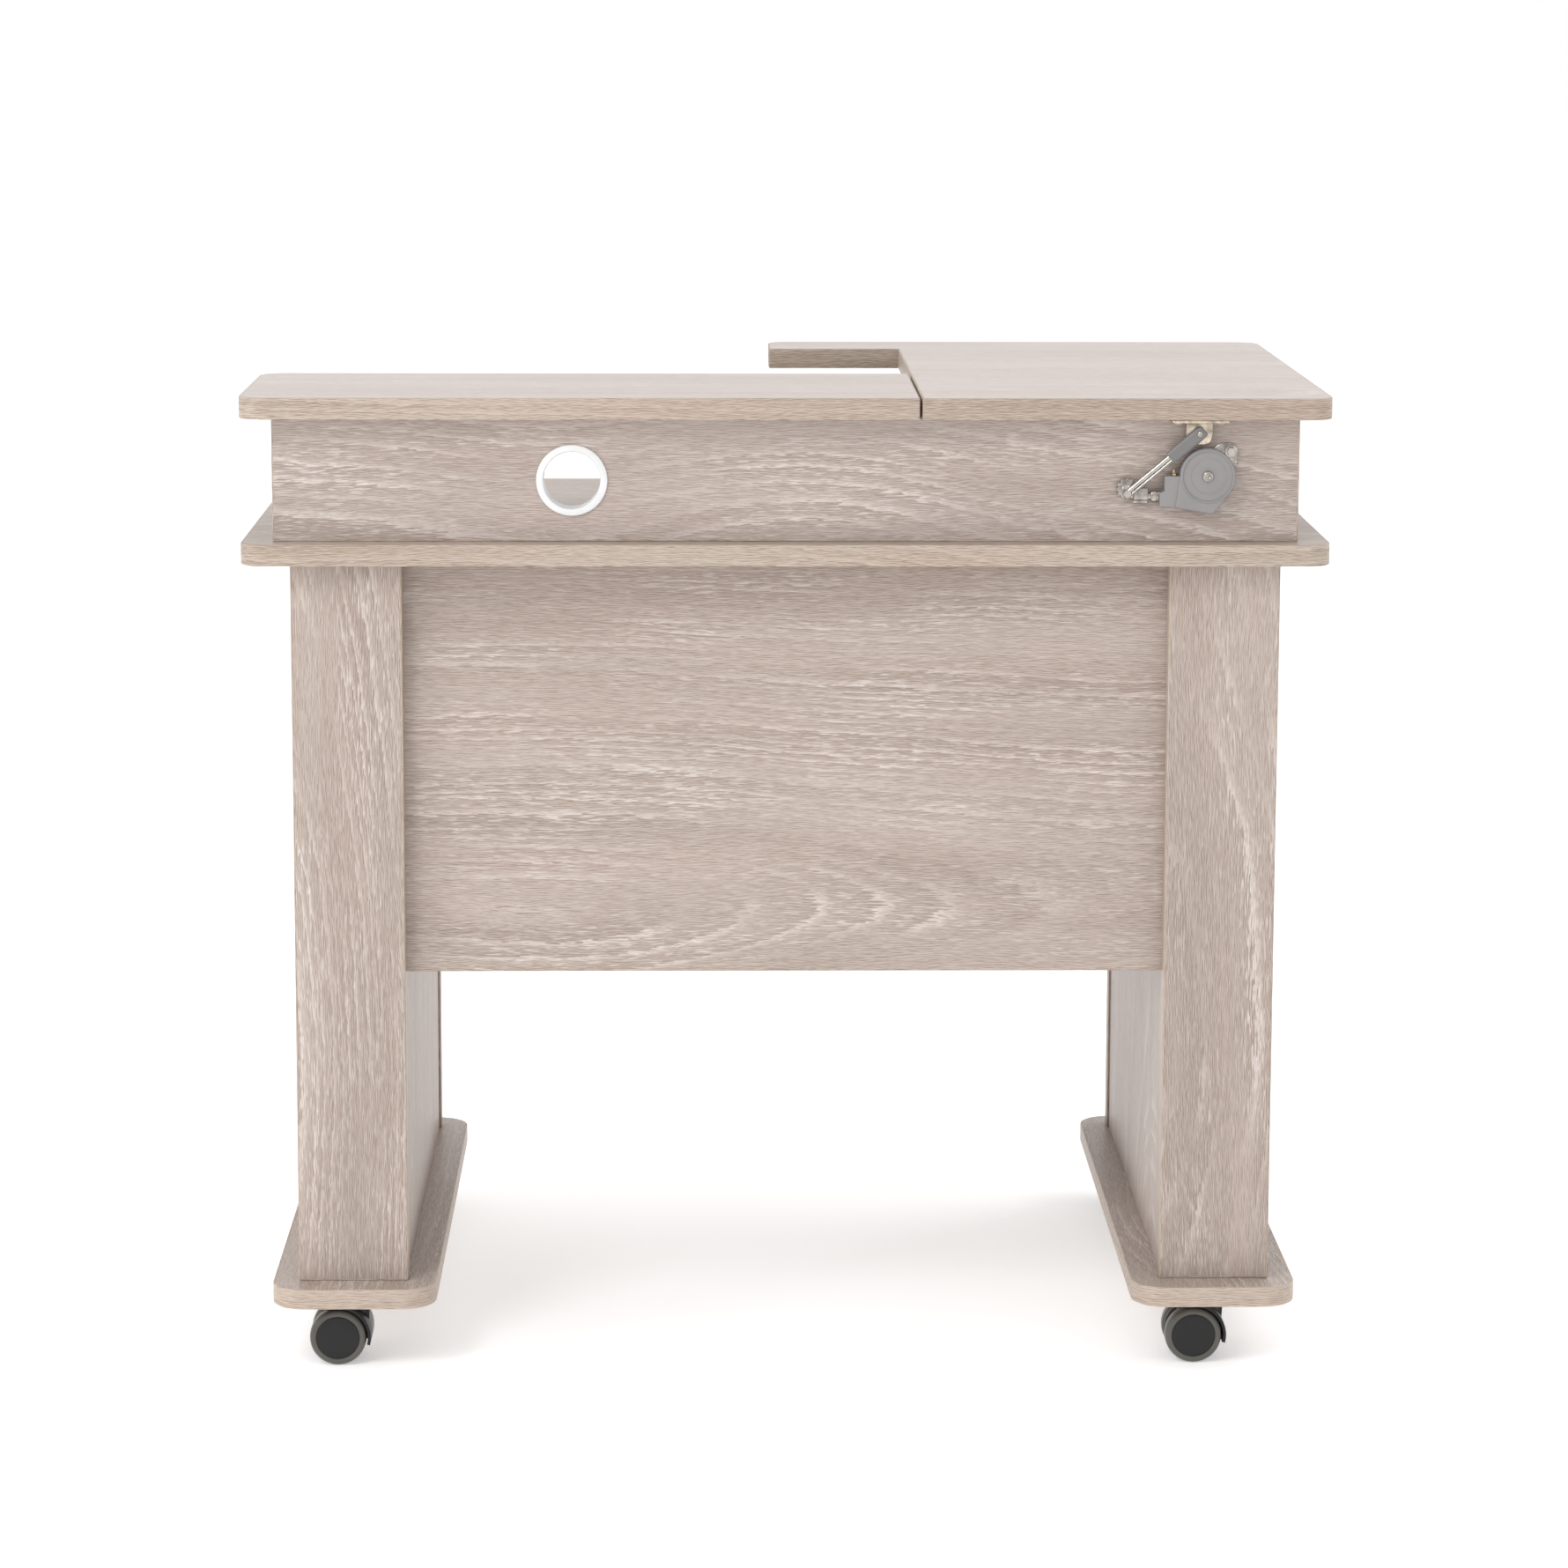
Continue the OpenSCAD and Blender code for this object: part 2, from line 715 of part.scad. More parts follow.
// one wheel; s = -1 is the back wheel of the pair and 1 the front one
module caster_wheel(s) {
    edge = tread_edge_r;
    color(black_plastic) translate([-caster_trail, s * wheel_in, wheel_r]) rotate([s > 0 ? -90 : 90, 0, 0])
        rotate_extrude() difference() {
            union() {
                square([wheel_r - edge, wheel_t]);
                translate([wheel_r - edge - 1, edge]) square([edge + 1, wheel_t - 2 * edge]);
                for (z = [edge, wheel_t - edge]) translate([wheel_r - edge, z]) circle(r = edge);
            }
            square([axle_r + running, wheel_t - hub_cap_t]);
            translate([hub_cap_r, wheel_t - 0.6]) square([0.8, 1]);
        }
}

module caster_part(part, side, end) {
    caster_place(side, end) {
        if (part == "mount") caster_mount();
        if (part == "hood") caster_hood();
        if (part == "axle") caster_axle();
        if (part == "wheel_a") caster_wheel(-1);
        if (part == "wheel_b") caster_wheel(1);
    }
}

// ---------------------------------------------------------------- nodes

top_rear();
top_lid();
lower_board();
apron();
box_end_left();
box_end_right();
box_divider();
leg_left_back();
leg_left_front();
leg_left_inner();
leg_left_outer();
leg_right_back();
leg_right_front();
leg_right_inner();
leg_right_outer();
modesty_panel();
foot_left();
foot_right();
foot_screws();
leg_screws();
caster_screws();
grommet();
hinge_leaves_box();
hinge_leaves_lid();
hinge_pins();
hinge_screws();
lid_screws();
stay_plate();
stay_bolt();
stay_pivot_screw();
stay_housing();
stay_block();
stay_adjuster();
stay_plunger();
stay_knee();
stay_rod();
stay_sleeve();
stay_lid_bracket();
stay_rivet();
caster_part("mount", -1, -1);  // caster_bl_mount
caster_part("hood", -1, -1);  // caster_bl_hood
caster_part("axle", -1, -1);  // caster_bl_axle
caster_part("wheel_a", -1, -1);  // caster_bl_wheel_a
caster_part("wheel_b", -1, -1);  // caster_bl_wheel_b
caster_part("mount", 1, -1);  // caster_br_mount
caster_part("hood", 1, -1);  // caster_br_hood
caster_part("axle", 1, -1);  // caster_br_axle
caster_part("wheel_a", 1, -1);  // caster_br_wheel_a
caster_part("wheel_b", 1, -1);  // caster_br_wheel_b
caster_part("mount", -1, 1);  // caster_fl_mount
caster_part("hood", -1, 1);  // caster_fl_hood
caster_part("axle", -1, 1);  // caster_fl_axle
caster_part("wheel_a", -1, 1);  // caster_fl_wheel_a
caster_part("wheel_b", -1, 1);  // caster_fl_wheel_b
caster_part("mount", 1, 1);  // caster_fr_mount
caster_part("hood", 1, 1);  // caster_fr_hood
caster_part("axle", 1, 1);  // caster_fr_axle
caster_part("wheel_a", 1, 1);  // caster_fr_wheel_a
caster_part("wheel_b", 1, 1);  // caster_fr_wheel_b
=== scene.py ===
"""The looks of a laminate sewing table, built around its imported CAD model. Metres throughout."""

import json
import math

import bmesh
import bpy
from mathutils import Matrix, Vector


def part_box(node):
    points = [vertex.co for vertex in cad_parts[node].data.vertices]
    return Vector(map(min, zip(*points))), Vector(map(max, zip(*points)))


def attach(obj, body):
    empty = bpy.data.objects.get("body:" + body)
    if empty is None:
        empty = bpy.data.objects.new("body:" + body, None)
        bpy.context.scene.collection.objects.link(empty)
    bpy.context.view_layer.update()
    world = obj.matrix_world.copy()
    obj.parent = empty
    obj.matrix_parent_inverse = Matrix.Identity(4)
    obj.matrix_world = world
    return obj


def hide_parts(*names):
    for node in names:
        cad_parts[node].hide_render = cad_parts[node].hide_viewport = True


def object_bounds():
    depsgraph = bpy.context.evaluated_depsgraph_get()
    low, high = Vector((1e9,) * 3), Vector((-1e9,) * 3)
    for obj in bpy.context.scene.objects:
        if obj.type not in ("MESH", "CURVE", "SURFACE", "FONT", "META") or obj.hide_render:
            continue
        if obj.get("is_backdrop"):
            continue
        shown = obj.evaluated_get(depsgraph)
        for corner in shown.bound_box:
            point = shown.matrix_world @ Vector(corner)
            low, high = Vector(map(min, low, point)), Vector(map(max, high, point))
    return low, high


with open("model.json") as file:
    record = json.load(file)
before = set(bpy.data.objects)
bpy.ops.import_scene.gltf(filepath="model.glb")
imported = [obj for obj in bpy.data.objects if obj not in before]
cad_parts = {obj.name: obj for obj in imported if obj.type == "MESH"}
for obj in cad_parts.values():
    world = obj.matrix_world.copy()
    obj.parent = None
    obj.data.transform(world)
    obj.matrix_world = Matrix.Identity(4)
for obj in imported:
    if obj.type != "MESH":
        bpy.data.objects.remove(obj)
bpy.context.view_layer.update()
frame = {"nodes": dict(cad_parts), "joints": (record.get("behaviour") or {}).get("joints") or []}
MM = 0.001
# what Blender's RGBA Mix node calls its two colours and its result
MIX_A, MIX_B, MIX_RESULT = 6, 7, 2
# for plates that face along x, y or z: the directions of u, v and the way the plate is pulled
AXES = {
    "x": (Vector((0, 1, 0)), Vector((0, 0, 1)), Vector((1, 0, 0))),
    "y": (Vector((1, 0, 0)), Vector((0, 0, 1)), Vector((0, -1, 0))),
    "z": (Vector((1, 0, 0)), Vector((0, 1, 0)), Vector((0, 0, 1))),
}


# ---------------------------------------------------------------- shader helpers


class Nodes:
    """A material and short ways to add nodes to it."""

    def __init__(self, name):
        self.material = bpy.data.materials.new(name)
        self.material.use_nodes = True
        self.tree = self.material.node_tree
        self.shader = self.tree.nodes["Principled BSDF"]

    def add(self, kind, inputs=(), **settings):
        """A new node, with its settings and with sockets given as values or as links."""
        node = self.tree.nodes.new(kind)
        for key, value in settings.items():
            setattr(node, key, value)
        for key, value in dict(inputs).items():
            self.put(value, node.inputs[key])
        return node

    def put(self, value, socket):
        if isinstance(value, bpy.types.NodeSocket):
            self.tree.links.new(value, socket)
        else:
            socket.default_value = value

    def math(self, operation, a, b=0.0, clamp=False):
        node = self.add("ShaderNodeMath", {0: a, 1: b}, operation=operation, use_clamp=clamp)
        return node.outputs[0]

    def ramp(self, value, stops):
        """A colour ramp through (position, colour) stops."""
        node = self.add("ShaderNodeValToRGB", {0: value})
        elements = node.color_ramp.elements
        while len(elements) < len(stops):
            elements.new(0.5)
        for element, (position, colour) in zip(elements, stops):
            element.position = position
            element.color = (*colour, 1)
        return node.outputs[0]

    def step(self, value, low, high, to_low=0.0, to_high=1.0):
        """value from low..high to to_low..to_high, held at both ends."""
        node = self.add("ShaderNodeMapRange", {0: value, 1: low, 2: high, 3: to_low, 4: to_high})
        node.clamp = True
        return node.outputs[0]

    def mix(self, factor, a, b, blend="MIX"):
        """Two colours, each a socket or three numbers, mixed by factor."""
        node = self.add("ShaderNodeMix", {0: factor}, data_type="RGBA", blend_type=blend)
        for colour, index in ((a, MIX_A), (b, MIX_B)):
            linked = isinstance(colour, bpy.types.NodeSocket)
            self.put(colour if linked else (*colour, 1), node.inputs[index])
        return node.outputs[MIX_RESULT]

    def noise(self, vector, scale=1.0, detail=2.0):
        inputs = {"Vector": vector, "Scale": scale, "Detail": detail, "Roughness": 0.5}
        return self.add("ShaderNodeTexNoise", inputs, noise_dimensions="3D").outputs[0]

    def vector(self, x, y, z=0.0):
        return self.add("ShaderNodeCombineXYZ", {0: x, 1: y, 2: z}).outputs[0]

    def bump(self, height, distance, strength):
        inputs = {"Height": height, "Distance": distance, "Strength": strength}
        self.put(self.add("ShaderNodeBump", inputs).outputs[0], self.shader.inputs["Normal"])

    def set(self, **values):
        """Sets the shader's own sockets, named with _ for a space."""
        for key, value in values.items():
            name = key.replace("_", " ")
            if isinstance(value, tuple) and len(value) == 3:
                value = (*value, 1)
            self.put(value, self.shader.inputs[name])


def oak(name, colours, heart, arch=0.08, rings=125.0, pores=1.0, contrast=1.0, rough=0.42, seed=0.0):
    """Limed oak laminate. The grain runs along U of the piece's UV map, which is in metres.

    The board is a cut through a slightly bent trunk: rings are distances from a wandering pith, and
    each ring starts with a row of chalk-filled pores and ends in darker late wood. heart is the V of
    the trunk's middle, arch the pith's depth under the board and rings how many lie in a metre."""
    n = Nodes(name)
    light, mid, dark = colours
    uv = n.add("ShaderNodeUVMap", uv_map="grain").outputs[0]
    split = n.add("ShaderNodeSeparateXYZ", {0: uv})
    u, v = split.outputs[0], split.outputs[1]

    def plus(a, b):
        return n.math("ADD", a, b)

    def times(a, b):
        return n.math("MULTIPLY", a, b)

    def grain(along, crosswise, across, depth, detail=1.5):
        """Noise stretched along the grain: features of 1/along by 1/crosswise metres."""
        return n.noise(n.vector(times(u, along), times(across, crosswise), depth + seed), detail=detail)

    def centred(value, amount):
        return times(n.math("SUBTRACT", value, 0.5), amount)

    # the grain's line sways, waves and ripples
    across = plus(v, centred(grain(1.6, 4.0, v, 3.1), 0.040))
    across = plus(across, centred(grain(9.0, 22.0, v, 9.7), 0.0040))
    across = plus(across, centred(grain(60.0, 110.0, v, 1.3, 1.0), 0.0006))

    # distance from the pith, which tapers and wanders along the board
    from_heart = n.math("SUBTRACT", across, heart)
    wander = n.noise(n.vector(times(u, 1.7), 0.3, seed), detail=1.0)
    pith = plus(plus(times(u, 0.05), arch), centred(wander, 0.15))
    radius = n.math("SQRT", plus(n.math("POWER", from_heart, 2.0), n.math("POWER", pith, 2.0)))

    # fibres, the same fibres a third of a millimetre beside them, and the coarser vessels
    fibre = grain(95.0, 1250.0, across, 2.2)
    beside = grain(95.0, 1250.0, plus(across, 0.00036), 2.2)
    coarse = grain(62.0, 980.0, across, 6.3)

    # the rings, uneven in width and broken up by the vessels
    band = n.noise(n.vector(times(radius, 34.0), times(u, 0.6), 5.5 + seed), detail=2.0)
    ring = plus(plus(times(radius, rings), times(band, 4.0)), centred(coarse, 0.85))
    phase = n.math("FRACT", ring)
    strength = grain(5.0, 30.0, across, 7.7)
    strong = n.step(strength, 0.42, 0.66, 0.15, 1.0)

    # tone of the wood: clouds, late wood, bands, fibres, and a painted shade of the fibres' ridges,
    # lighter on one side of each fibre and darker on the other
    cloud = grain(2.0, 16.0, across, 4.4, 2.0)
    tone = plus(centred(cloud, 0.9), times(centred(phase, 0.36 * contrast), strong))
    tone = plus(tone, centred(band, 0.55 * contrast))
    tone = plus(tone, centred(fibre, 1.3 * contrast))
    # painted shade of the fibres' ridges: the fibres less the same fibres beside them
    relief_shade = times(n.math("SUBTRACT", fibre, beside), 2.0 * contrast)
    tone = plus(plus(tone, relief_shade), 0.5)
    colour = n.ramp(tone, [(0.05, light), (0.5, mid), (0.95, dark)])
    hue = grain(3.0, 30.0, across, 8.8, 1.0)
    colour = n.mix(n.step(hue, 0.35, 0.65), colour, ROSY, "MULTIPLY")

    # chalk in the pores along each ring, and scattered between the rings
    line = times(n.step(phase, 0.0, 0.04), n.step(phase, 0.08, 0.24, 1.0, 0.0))
    line = times(line, n.step(fibre, 0.35, 0.56))
    scatter = n.step(plus(coarse, centred(fibre, 0.4)), 0.57, 0.68)
    chalk = times(line, n.step(strength, 0.42, 0.66, 0.12, 0.95))
    chalk = n.math("MAXIMUM", chalk, times(scatter, n.step(strength, 0.35, 0.65, 0.3, 0.75)))
    colour = n.mix(n.math("MULTIPLY", chalk, 0.9 * pores, True), colour, CHALK)

    n.set(Base_Color=colour, Roughness=n.step(fibre, 0.3, 0.7, rough - 0.04, rough + 0.05))
    height = n.math("SUBTRACT", times(fibre, 0.4), times(chalk, 0.5))
    n.bump(height, distance=0.0001, strength=0.4)
    return n.material


def plastic(name, colour, rough, grain, specular=0.5):
    """Moulded plastic with a faint spark-eroded texture and slight wear of the gloss."""
    n = Nodes(name)
    where = n.add("ShaderNodeTexCoord").outputs["Object"]
    fine = n.noise(where, 2600.0, 2)
    broad = n.noise(where, 38.0, 3)
    tone = n.step(broad, 0.3, 0.7, 0.94, 1.05)
    both = n.math("ADD", n.math("MULTIPLY", fine, 0.5), n.math("MULTIPLY", broad, 0.5))
    n.set(Base_Color=n.mix(1.0, colour, n.vector(tone, tone, tone), "MULTIPLY"))
    n.set(Roughness=n.step(both, 0.3, 0.7, rough - 0.06, rough + 0.08))
    n.set(Specular_IOR_Level=specular)
    n.bump(fine, distance=0.00005, strength=grain)
    return n.material


def metal(name, colour, rough, brushed=0.0, painted_reflection_low=0.5):
    """Plated metal: fine polishing marks, and painted reflections in patches, from 1.25 times the colour
    down to a given share of it, for the bright and dark things the plating would mirror.
    """
    n = Nodes(name)
    where = n.add("ShaderNodeTexCoord").outputs["Object"]
    drawn_out = n.add("ShaderNodeMapping", {"Vector": where, "Scale": (0.04, 1.0, 1.0)}).outputs[0]
    lines = n.noise(drawn_out, 2400.0, 2)
    reflection_patch = n.noise(where, 150.0, 3)
    # painted reflections: the plating's colour brightened and darkened in patches
    tone = n.step(reflection_patch, 0.35, 0.68, 1.25, painted_reflection_low)
    marks = n.math("ADD", n.math("MULTIPLY", lines, brushed), reflection_patch)
    n.set(Base_Color=n.mix(1.0, colour, n.vector(tone, tone, tone), "MULTIPLY"), Metallic=1.0)
    n.set(Roughness=n.step(marks, 0.3, 0.8 + brushed, rough, rough + 0.14))
    n.bump(lines, distance=0.00003, strength=0.15 + brushed)
    return n.material


# light, middle and dark tones of the printed oak
OAK = ((0.444, 0.372, 0.330), (0.352, 0.287, 0.249), (0.242, 0.189, 0.156))
OAK_APRON = ((0.462, 0.396, 0.360), (0.370, 0.308, 0.274), (0.264, 0.213, 0.183))
# the tops: the oak's own tones, made lighter and greyer by a painted sheen, the white room's reflection at
# a low angle
OAK_TOP_AND_SHEEN = ((0.538, 0.468, 0.432), (0.456, 0.390, 0.356), (0.350, 0.290, 0.257))
OAK_BAND = ((0.490, 0.408, 0.340), (0.395, 0.322, 0.264), (0.240, 0.182, 0.135))
CHALK = (0.655, 0.595, 0.555)
ROSY = (1.0, 0.965, 0.955)

mat_top = oak("top_laminate", OAK_TOP_AND_SHEEN, heart=0.3, contrast=0.8, rough=0.33)
mat_board = oak("board_laminate", OAK, heart=0.25, seed=3.0, rough=0.36)
mat_apron = oak("apron_laminate", OAK_APRON, heart=-0.16, arch=0.10, seed=1.0)
mat_panel = oak("panel_laminate", OAK, heart=-0.03, arch=0.06, seed=2.0)
mat_leg = oak("leg_laminate", OAK, heart=-0.07, arch=0.05, rings=155.0, seed=4.0)
mat_band = oak("edge_band", OAK_BAND, heart=0.4, pores=0.2, seed=5.0)
mat_white = plastic("white_plastic", (0.70, 0.70, 0.70), 0.24, 0.1)
mat_grey = plastic("grey_plastic", (0.235, 0.226, 0.222), 0.36, 0.4)
mat_sleeve = plastic("sleeve_plastic", (0.165, 0.158, 0.156), 0.38, 0.4)
mat_black = plastic("black_plastic", (0.010, 0.010, 0.010), 0.32, 0.3, 0.3)
mat_tread = plastic("wheel_tread", (0.088, 0.083, 0.072), 0.34, 0.35, 0.45)
mat_cap = plastic("hub_cap", (0.014, 0.014, 0.014), 0.40, 0.5, 0.3)
# nickel and chrome are darker than bare plating: painted shade standing in for the darker surroundings
# they would mirror
mat_nickel = metal("nickel", (0.41, 0.38, 0.345), 0.13, painted_reflection_low=0.55)
mat_chrome = metal("chrome", (0.38, 0.36, 0.33), 0.07, painted_reflection_low=0.9)
mat_bracket = metal("bracket_steel", (0.58, 0.50, 0.40), 0.28, 0.4, painted_reflection_low=0.6)
mat_zinc = metal("zinc", (0.45, 0.45, 0.45), 0.30, 0.3, painted_reflection_low=0.9)
mat_brass = metal("brass", (0.42, 0.32, 0.19), 0.22, painted_reflection_low=0.45)


# ---------------------------------------------------------------- mesh helpers

EASED = 0.0015  # radius of a board's plain corners
GROOVE = 0.00012  # depth of the fine line between an edge band and the face
BAND = 0.0013  # thickness of an edge band
BAND_SHIFT = 1.7  # cuts a board's bands from another place in the wood than its faces
CLEAR = 0.00005  # keeps a plate's face off the board that it is screwed to


def outline(corners, inset=0.0):
    """Points round a closed polygon of (u, v, radius) corners, anticlockwise, moved inwards by inset."""
    points = []
    count = len(corners)
    for i, (x, y, r) in enumerate(corners):
        here = Vector((x, y))
        a = (here - Vector(corners[i - 1][:2])).normalized()
        b = (Vector(corners[(i + 1) % count][:2]) - here).normalized()
        in_a = Vector((-a.y, a.x))
        in_b = Vector((-b.y, b.x))
        turn = math.atan2(a.x * b.y - a.y * b.x, a.dot(b))
        if r <= 0 or abs(turn) < 1e-6:
            points.append(here + (in_a + in_b) * (inset / (1 + in_a.dot(in_b))))
            continue
        side = 1 if turn > 0 else -1
        centre = here - a * (r * math.tan(abs(turn) / 2)) + in_a * (r * side)
        radius = max(r - inset * side, 1e-5)
        start = math.atan2(-in_a.y * side, -in_a.x * side)
        degrees_a_step = 7 if r > 0.008 else 22
        steps = max(3, round(abs(turn) / math.radians(degrees_a_step)))
        for k in range(steps + 1):
            angle = start + turn * k / steps
            points.append(centre + Vector((math.cos(angle), math.sin(angle))) * radius)
    return points


def rounding(radius, steps=3):
    """(inset, depth) pairs of a rounded edge, from the face to the side."""
    turns = [math.pi / 2 * k / steps for k in range(steps + 1)]
    return [(radius * (1 - math.sin(a)), radius * (1 - math.cos(a))) for a in turns]


def rectangle(u0, v0, u1, v1, r=EASED):
    return [(u0, v0, r), (u1, v0, r), (u1, v1, r), (u0, v1, r)]


def arc(u, v, r, start, end, steps):
    """Corners along an arc about (u, v), from start to end in degrees."""
    turns = [math.radians(start + (end - start) * k / steps) for k in range(steps + 1)]
    return [(u + r * math.cos(a), v + r * math.sin(a), 0) for a in turns]


def circle(u, v, r, n=48):
    turns = [2 * math.pi * k / n for k in range(n)]
    return [Vector((u + r * math.cos(a), v + r * math.sin(a))) for a in turns]


def loop(bm, place, points, w):
    return [bm.verts.new(place(p.x, p.y, w)) for p in points]


def skirt(bm, low, high, material=0, uv=None, coords=None):
    """Quads between two loops. coords is for the UV map: how far round each point is, low's height
    and high's height."""
    n = len(low)
    for i in range(n):
        j = (i + 1) % n
        face = bm.faces.new((low[i], low[j], high[j], high[i]))
        face.material_index = material
        if uv is None:
            continue
        distances, w0, w1 = coords
        start, end = distances[i], distances[i + 1]
        for corner, value in zip(face.loops, ((start, w0), (end, w0), (end, w1), (start, w1))):
            corner[uv].uv = value


def cap(bm, rim, holes, uv, flat, up):
    """Fills a face bounded by rim, with holes."""
    edges = []
    for ring in [rim, *holes]:
        for i, vert in enumerate(ring):
            other = ring[(i + 1) % len(ring)]
            edges.append(bm.edges.get((vert, other)) or bm.edges.new((vert, other)))
    made = bmesh.ops.triangle_fill(bm, use_beauty=True, edges=edges, normal=up)
    for face in [g for g in made["geom"] if isinstance(g, bmesh.types.BMFace)]:
        if face.normal.dot(up) < 0:
            face.normal_flip()
        for corner in face.loops:
            corner[uv].uv = flat(corner.vert.co)


def slab(bm, plane, corners, w0, w1, edge, grain="u", offset=(0, 0), holes=(), pockets=(),
         side_slot=0, band=None):
    """Adds a plate to bm: an outline pulled from w0 to w1 along the plane's normal, with edge as its
    edges' profile. holes are (u, v, radius), pockets (u, v, radius, depth, on_top)."""
    au, av, aw = AXES[plane]
    uv = bm.loops.layers.uv.get("grain") or bm.loops.layers.uv.new("grain")

    def place(u, v, w):
        return au * u + av * v + aw * w

    def flat(co):
        u, v = co.dot(au) + offset[0], co.dot(av) + offset[1]
        return (u, v) if grain == "u" else (v, u)

    # the side, ring by ring, with how far round it each point is for the band's grain
    profile = list(edge)
    if band:
        profile = [(band + GROOVE, 0.0), (band, GROOVE), (band - GROOVE, 0.0)] + profile
    base = outline(corners)
    distances = [0.0]
    for i, point in enumerate(base):
        distances.append(distances[-1] + (base[(i + 1) % len(base)] - point).length)
    distances = [d + offset[0] * BAND_SHIFT for d in distances]
    levels = [(inset, w1 - depth) for inset, depth in profile]
    levels += [(inset, w0 + depth) for inset, depth in reversed(profile)]
    rings = [loop(bm, place, outline(corners, inset), w) for inset, w in levels]
    heights = [w + inset for inset, w in levels]
    for k in range(1, len(rings)):
        skirt(bm, rings[k], rings[k - 1], side_slot, uv, (distances, heights[k], heights[k - 1]))

    # walls of the holes and pockets, then the two faces round them
    top_holes, low_holes = [], []
    for u, v, r in holes:
        upper = loop(bm, place, circle(u, v, r), w1)
        lower = loop(bm, place, circle(u, v, r), w0)
        skirt(bm, upper, lower, side_slot)
        top_holes.append(upper)
        low_holes.append(lower)
    for u, v, r, depth, on_top in pockets:
        mouth_w, floor_w = (w1, w1 - depth) if on_top else (w0, w0 + depth)
        mouth = loop(bm, place, circle(u, v, r, 24), mouth_w)
        floor = loop(bm, place, circle(u, v, r, 24), floor_w)
        skirt(bm, mouth, floor, side_slot)
        bm.faces.new(floor).material_index = side_slot
        (top_holes if on_top else low_holes).append(mouth)
    cap(bm, rings[0], top_holes, uv, flat, aw)
    cap(bm, rings[-1], low_holes, uv, flat, -aw)


def lathe(bm, profile, centre, axis, slot=0, n=64):
    """Adds a turned solid to bm. profile is (radius, height) pairs along axis; at radius 0 it closes."""
    axis = Vector(axis).normalized()
    side = axis.orthogonal().normalized()
    other = axis.cross(side)
    centre = Vector(centre)
    turns = [2 * math.pi * k / n for k in range(n)]
    spokes = [side * math.cos(a) + other * math.sin(a) for a in turns]
    rings = []
    for r, h in profile:
        at = centre + axis * h
        points = [at + spoke * r for spoke in spokes] if r > 0 else [at]
        rings.append([bm.verts.new(point) for point in points])
    for a, b in zip(rings, rings[1:]):
        for k in range(n):
            j = (k + 1) % n
            if len(a) == 1:
                corners = (a[0], b[k], b[j])
            elif len(b) == 1:
                corners = (a[k], a[j], b[0])
            else:
                corners = (a[k], a[j], b[j], b[k])
            bm.faces.new(corners).material_index = slot


def finish_mesh(bm, name, materials, angle=32):
    """Turns bm into an object with smooth faces and with sharp edges above angle."""
    bmesh.ops.remove_doubles(bm, verts=bm.verts, dist=1e-6)
    bmesh.ops.recalc_face_normals(bm, faces=bm.faces)
    mesh = bpy.data.meshes.new(name)
    bm.to_mesh(mesh)
    bm.free()
    for material in materials:
        mesh.materials.append(material)
    mesh.polygons.foreach_set("use_smooth", [True] * len(mesh.polygons))
    mesh.set_sharp_from_angle(angle=math.radians(angle))
    made = bpy.data.objects.new(name, mesh)
    bpy.context.scene.collection.objects.link(made)
    return made


def piece(bm, name, materials, body, slot, *nodes, angle=32):
    """Finishes a visible piece, which rides on body and stands in for the CAD nodes."""
    made = finish_mesh(bm, name, materials, angle)
    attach(made, body)
    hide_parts(*nodes)


# ---------------------------------------------------------------- boards

SOFT_EDGE = rounding(0.0008)
TOP_R = 0.020  # round corners of the tops and of the lower board
FOOT_R = 0.029
SEAM = 0.002  # gap between the two tops
ARM_DEPTH = 0.077  # of the lid's arm, in front of the fixed top
RECESS = 0.069  # depth of the knee recess in the lower board
GROMMET_BORE_R = 0.0256
SCREW_HEAD_R = 0.0052
SCREW_HEAD_H = 0.0024
LEG_SCREWS_X = (0.011, 0.081)  # from the leg's inner side
LEG_SCREWS_Y = (-0.15, 0.15)
FOOT_SCREWS_X = (0.022, 0.070)  # from the leg's left side
FOOT_SCREWS_Y = (-0.249, 0.253)


def board(node, plane, body, slot, face, grain="u", offset=(0, 0), corners=None, **more):
    """A laminated board with its edge bands, in place of the plain CAD board. offset is the place in
    the wood that it is cut from, and grain the direction of the wood, u or v."""
    low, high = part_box(node)
    au, av, aw = AXES[plane]
    if corners is None:
        corners = rectangle(low.dot(au), low.dot(av), high.dot(au), high.dot(av))
    w0, w1 = sorted((low.dot(aw), high.dot(aw)))
    bm = bmesh.new()
    slab(bm, plane, corners, w0, w1, SOFT_EDGE, grain, offset, side_slot=1, band=BAND, **more)
    piece(bm, node + "_board", [face, mat_band], body, slot, node)


low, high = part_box("top_rear")
board("top_rear", "z", "table", "top_laminate", mat_top, offset=(0.4, 0.31),
      corners=[(low.x, low.y, TOP_R), (high.x, low.y, EASED), (high.x, high.y, EASED),
               (low.x, high.y, TOP_R)])

seam = high.x + SEAM
low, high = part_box("top_lid")
arm_back = high.y - ARM_DEPTH
board("top_lid", "z", "lid", "top_laminate", mat_top, offset=(1.4, 0.52),
      corners=[(seam, low.y, EASED), (high.x, low.y, TOP_R), (high.x, high.y, TOP_R),
               (low.x, high.y, TOP_R), (low.x, arm_back, EASED), (seam, arm_back, 0)])

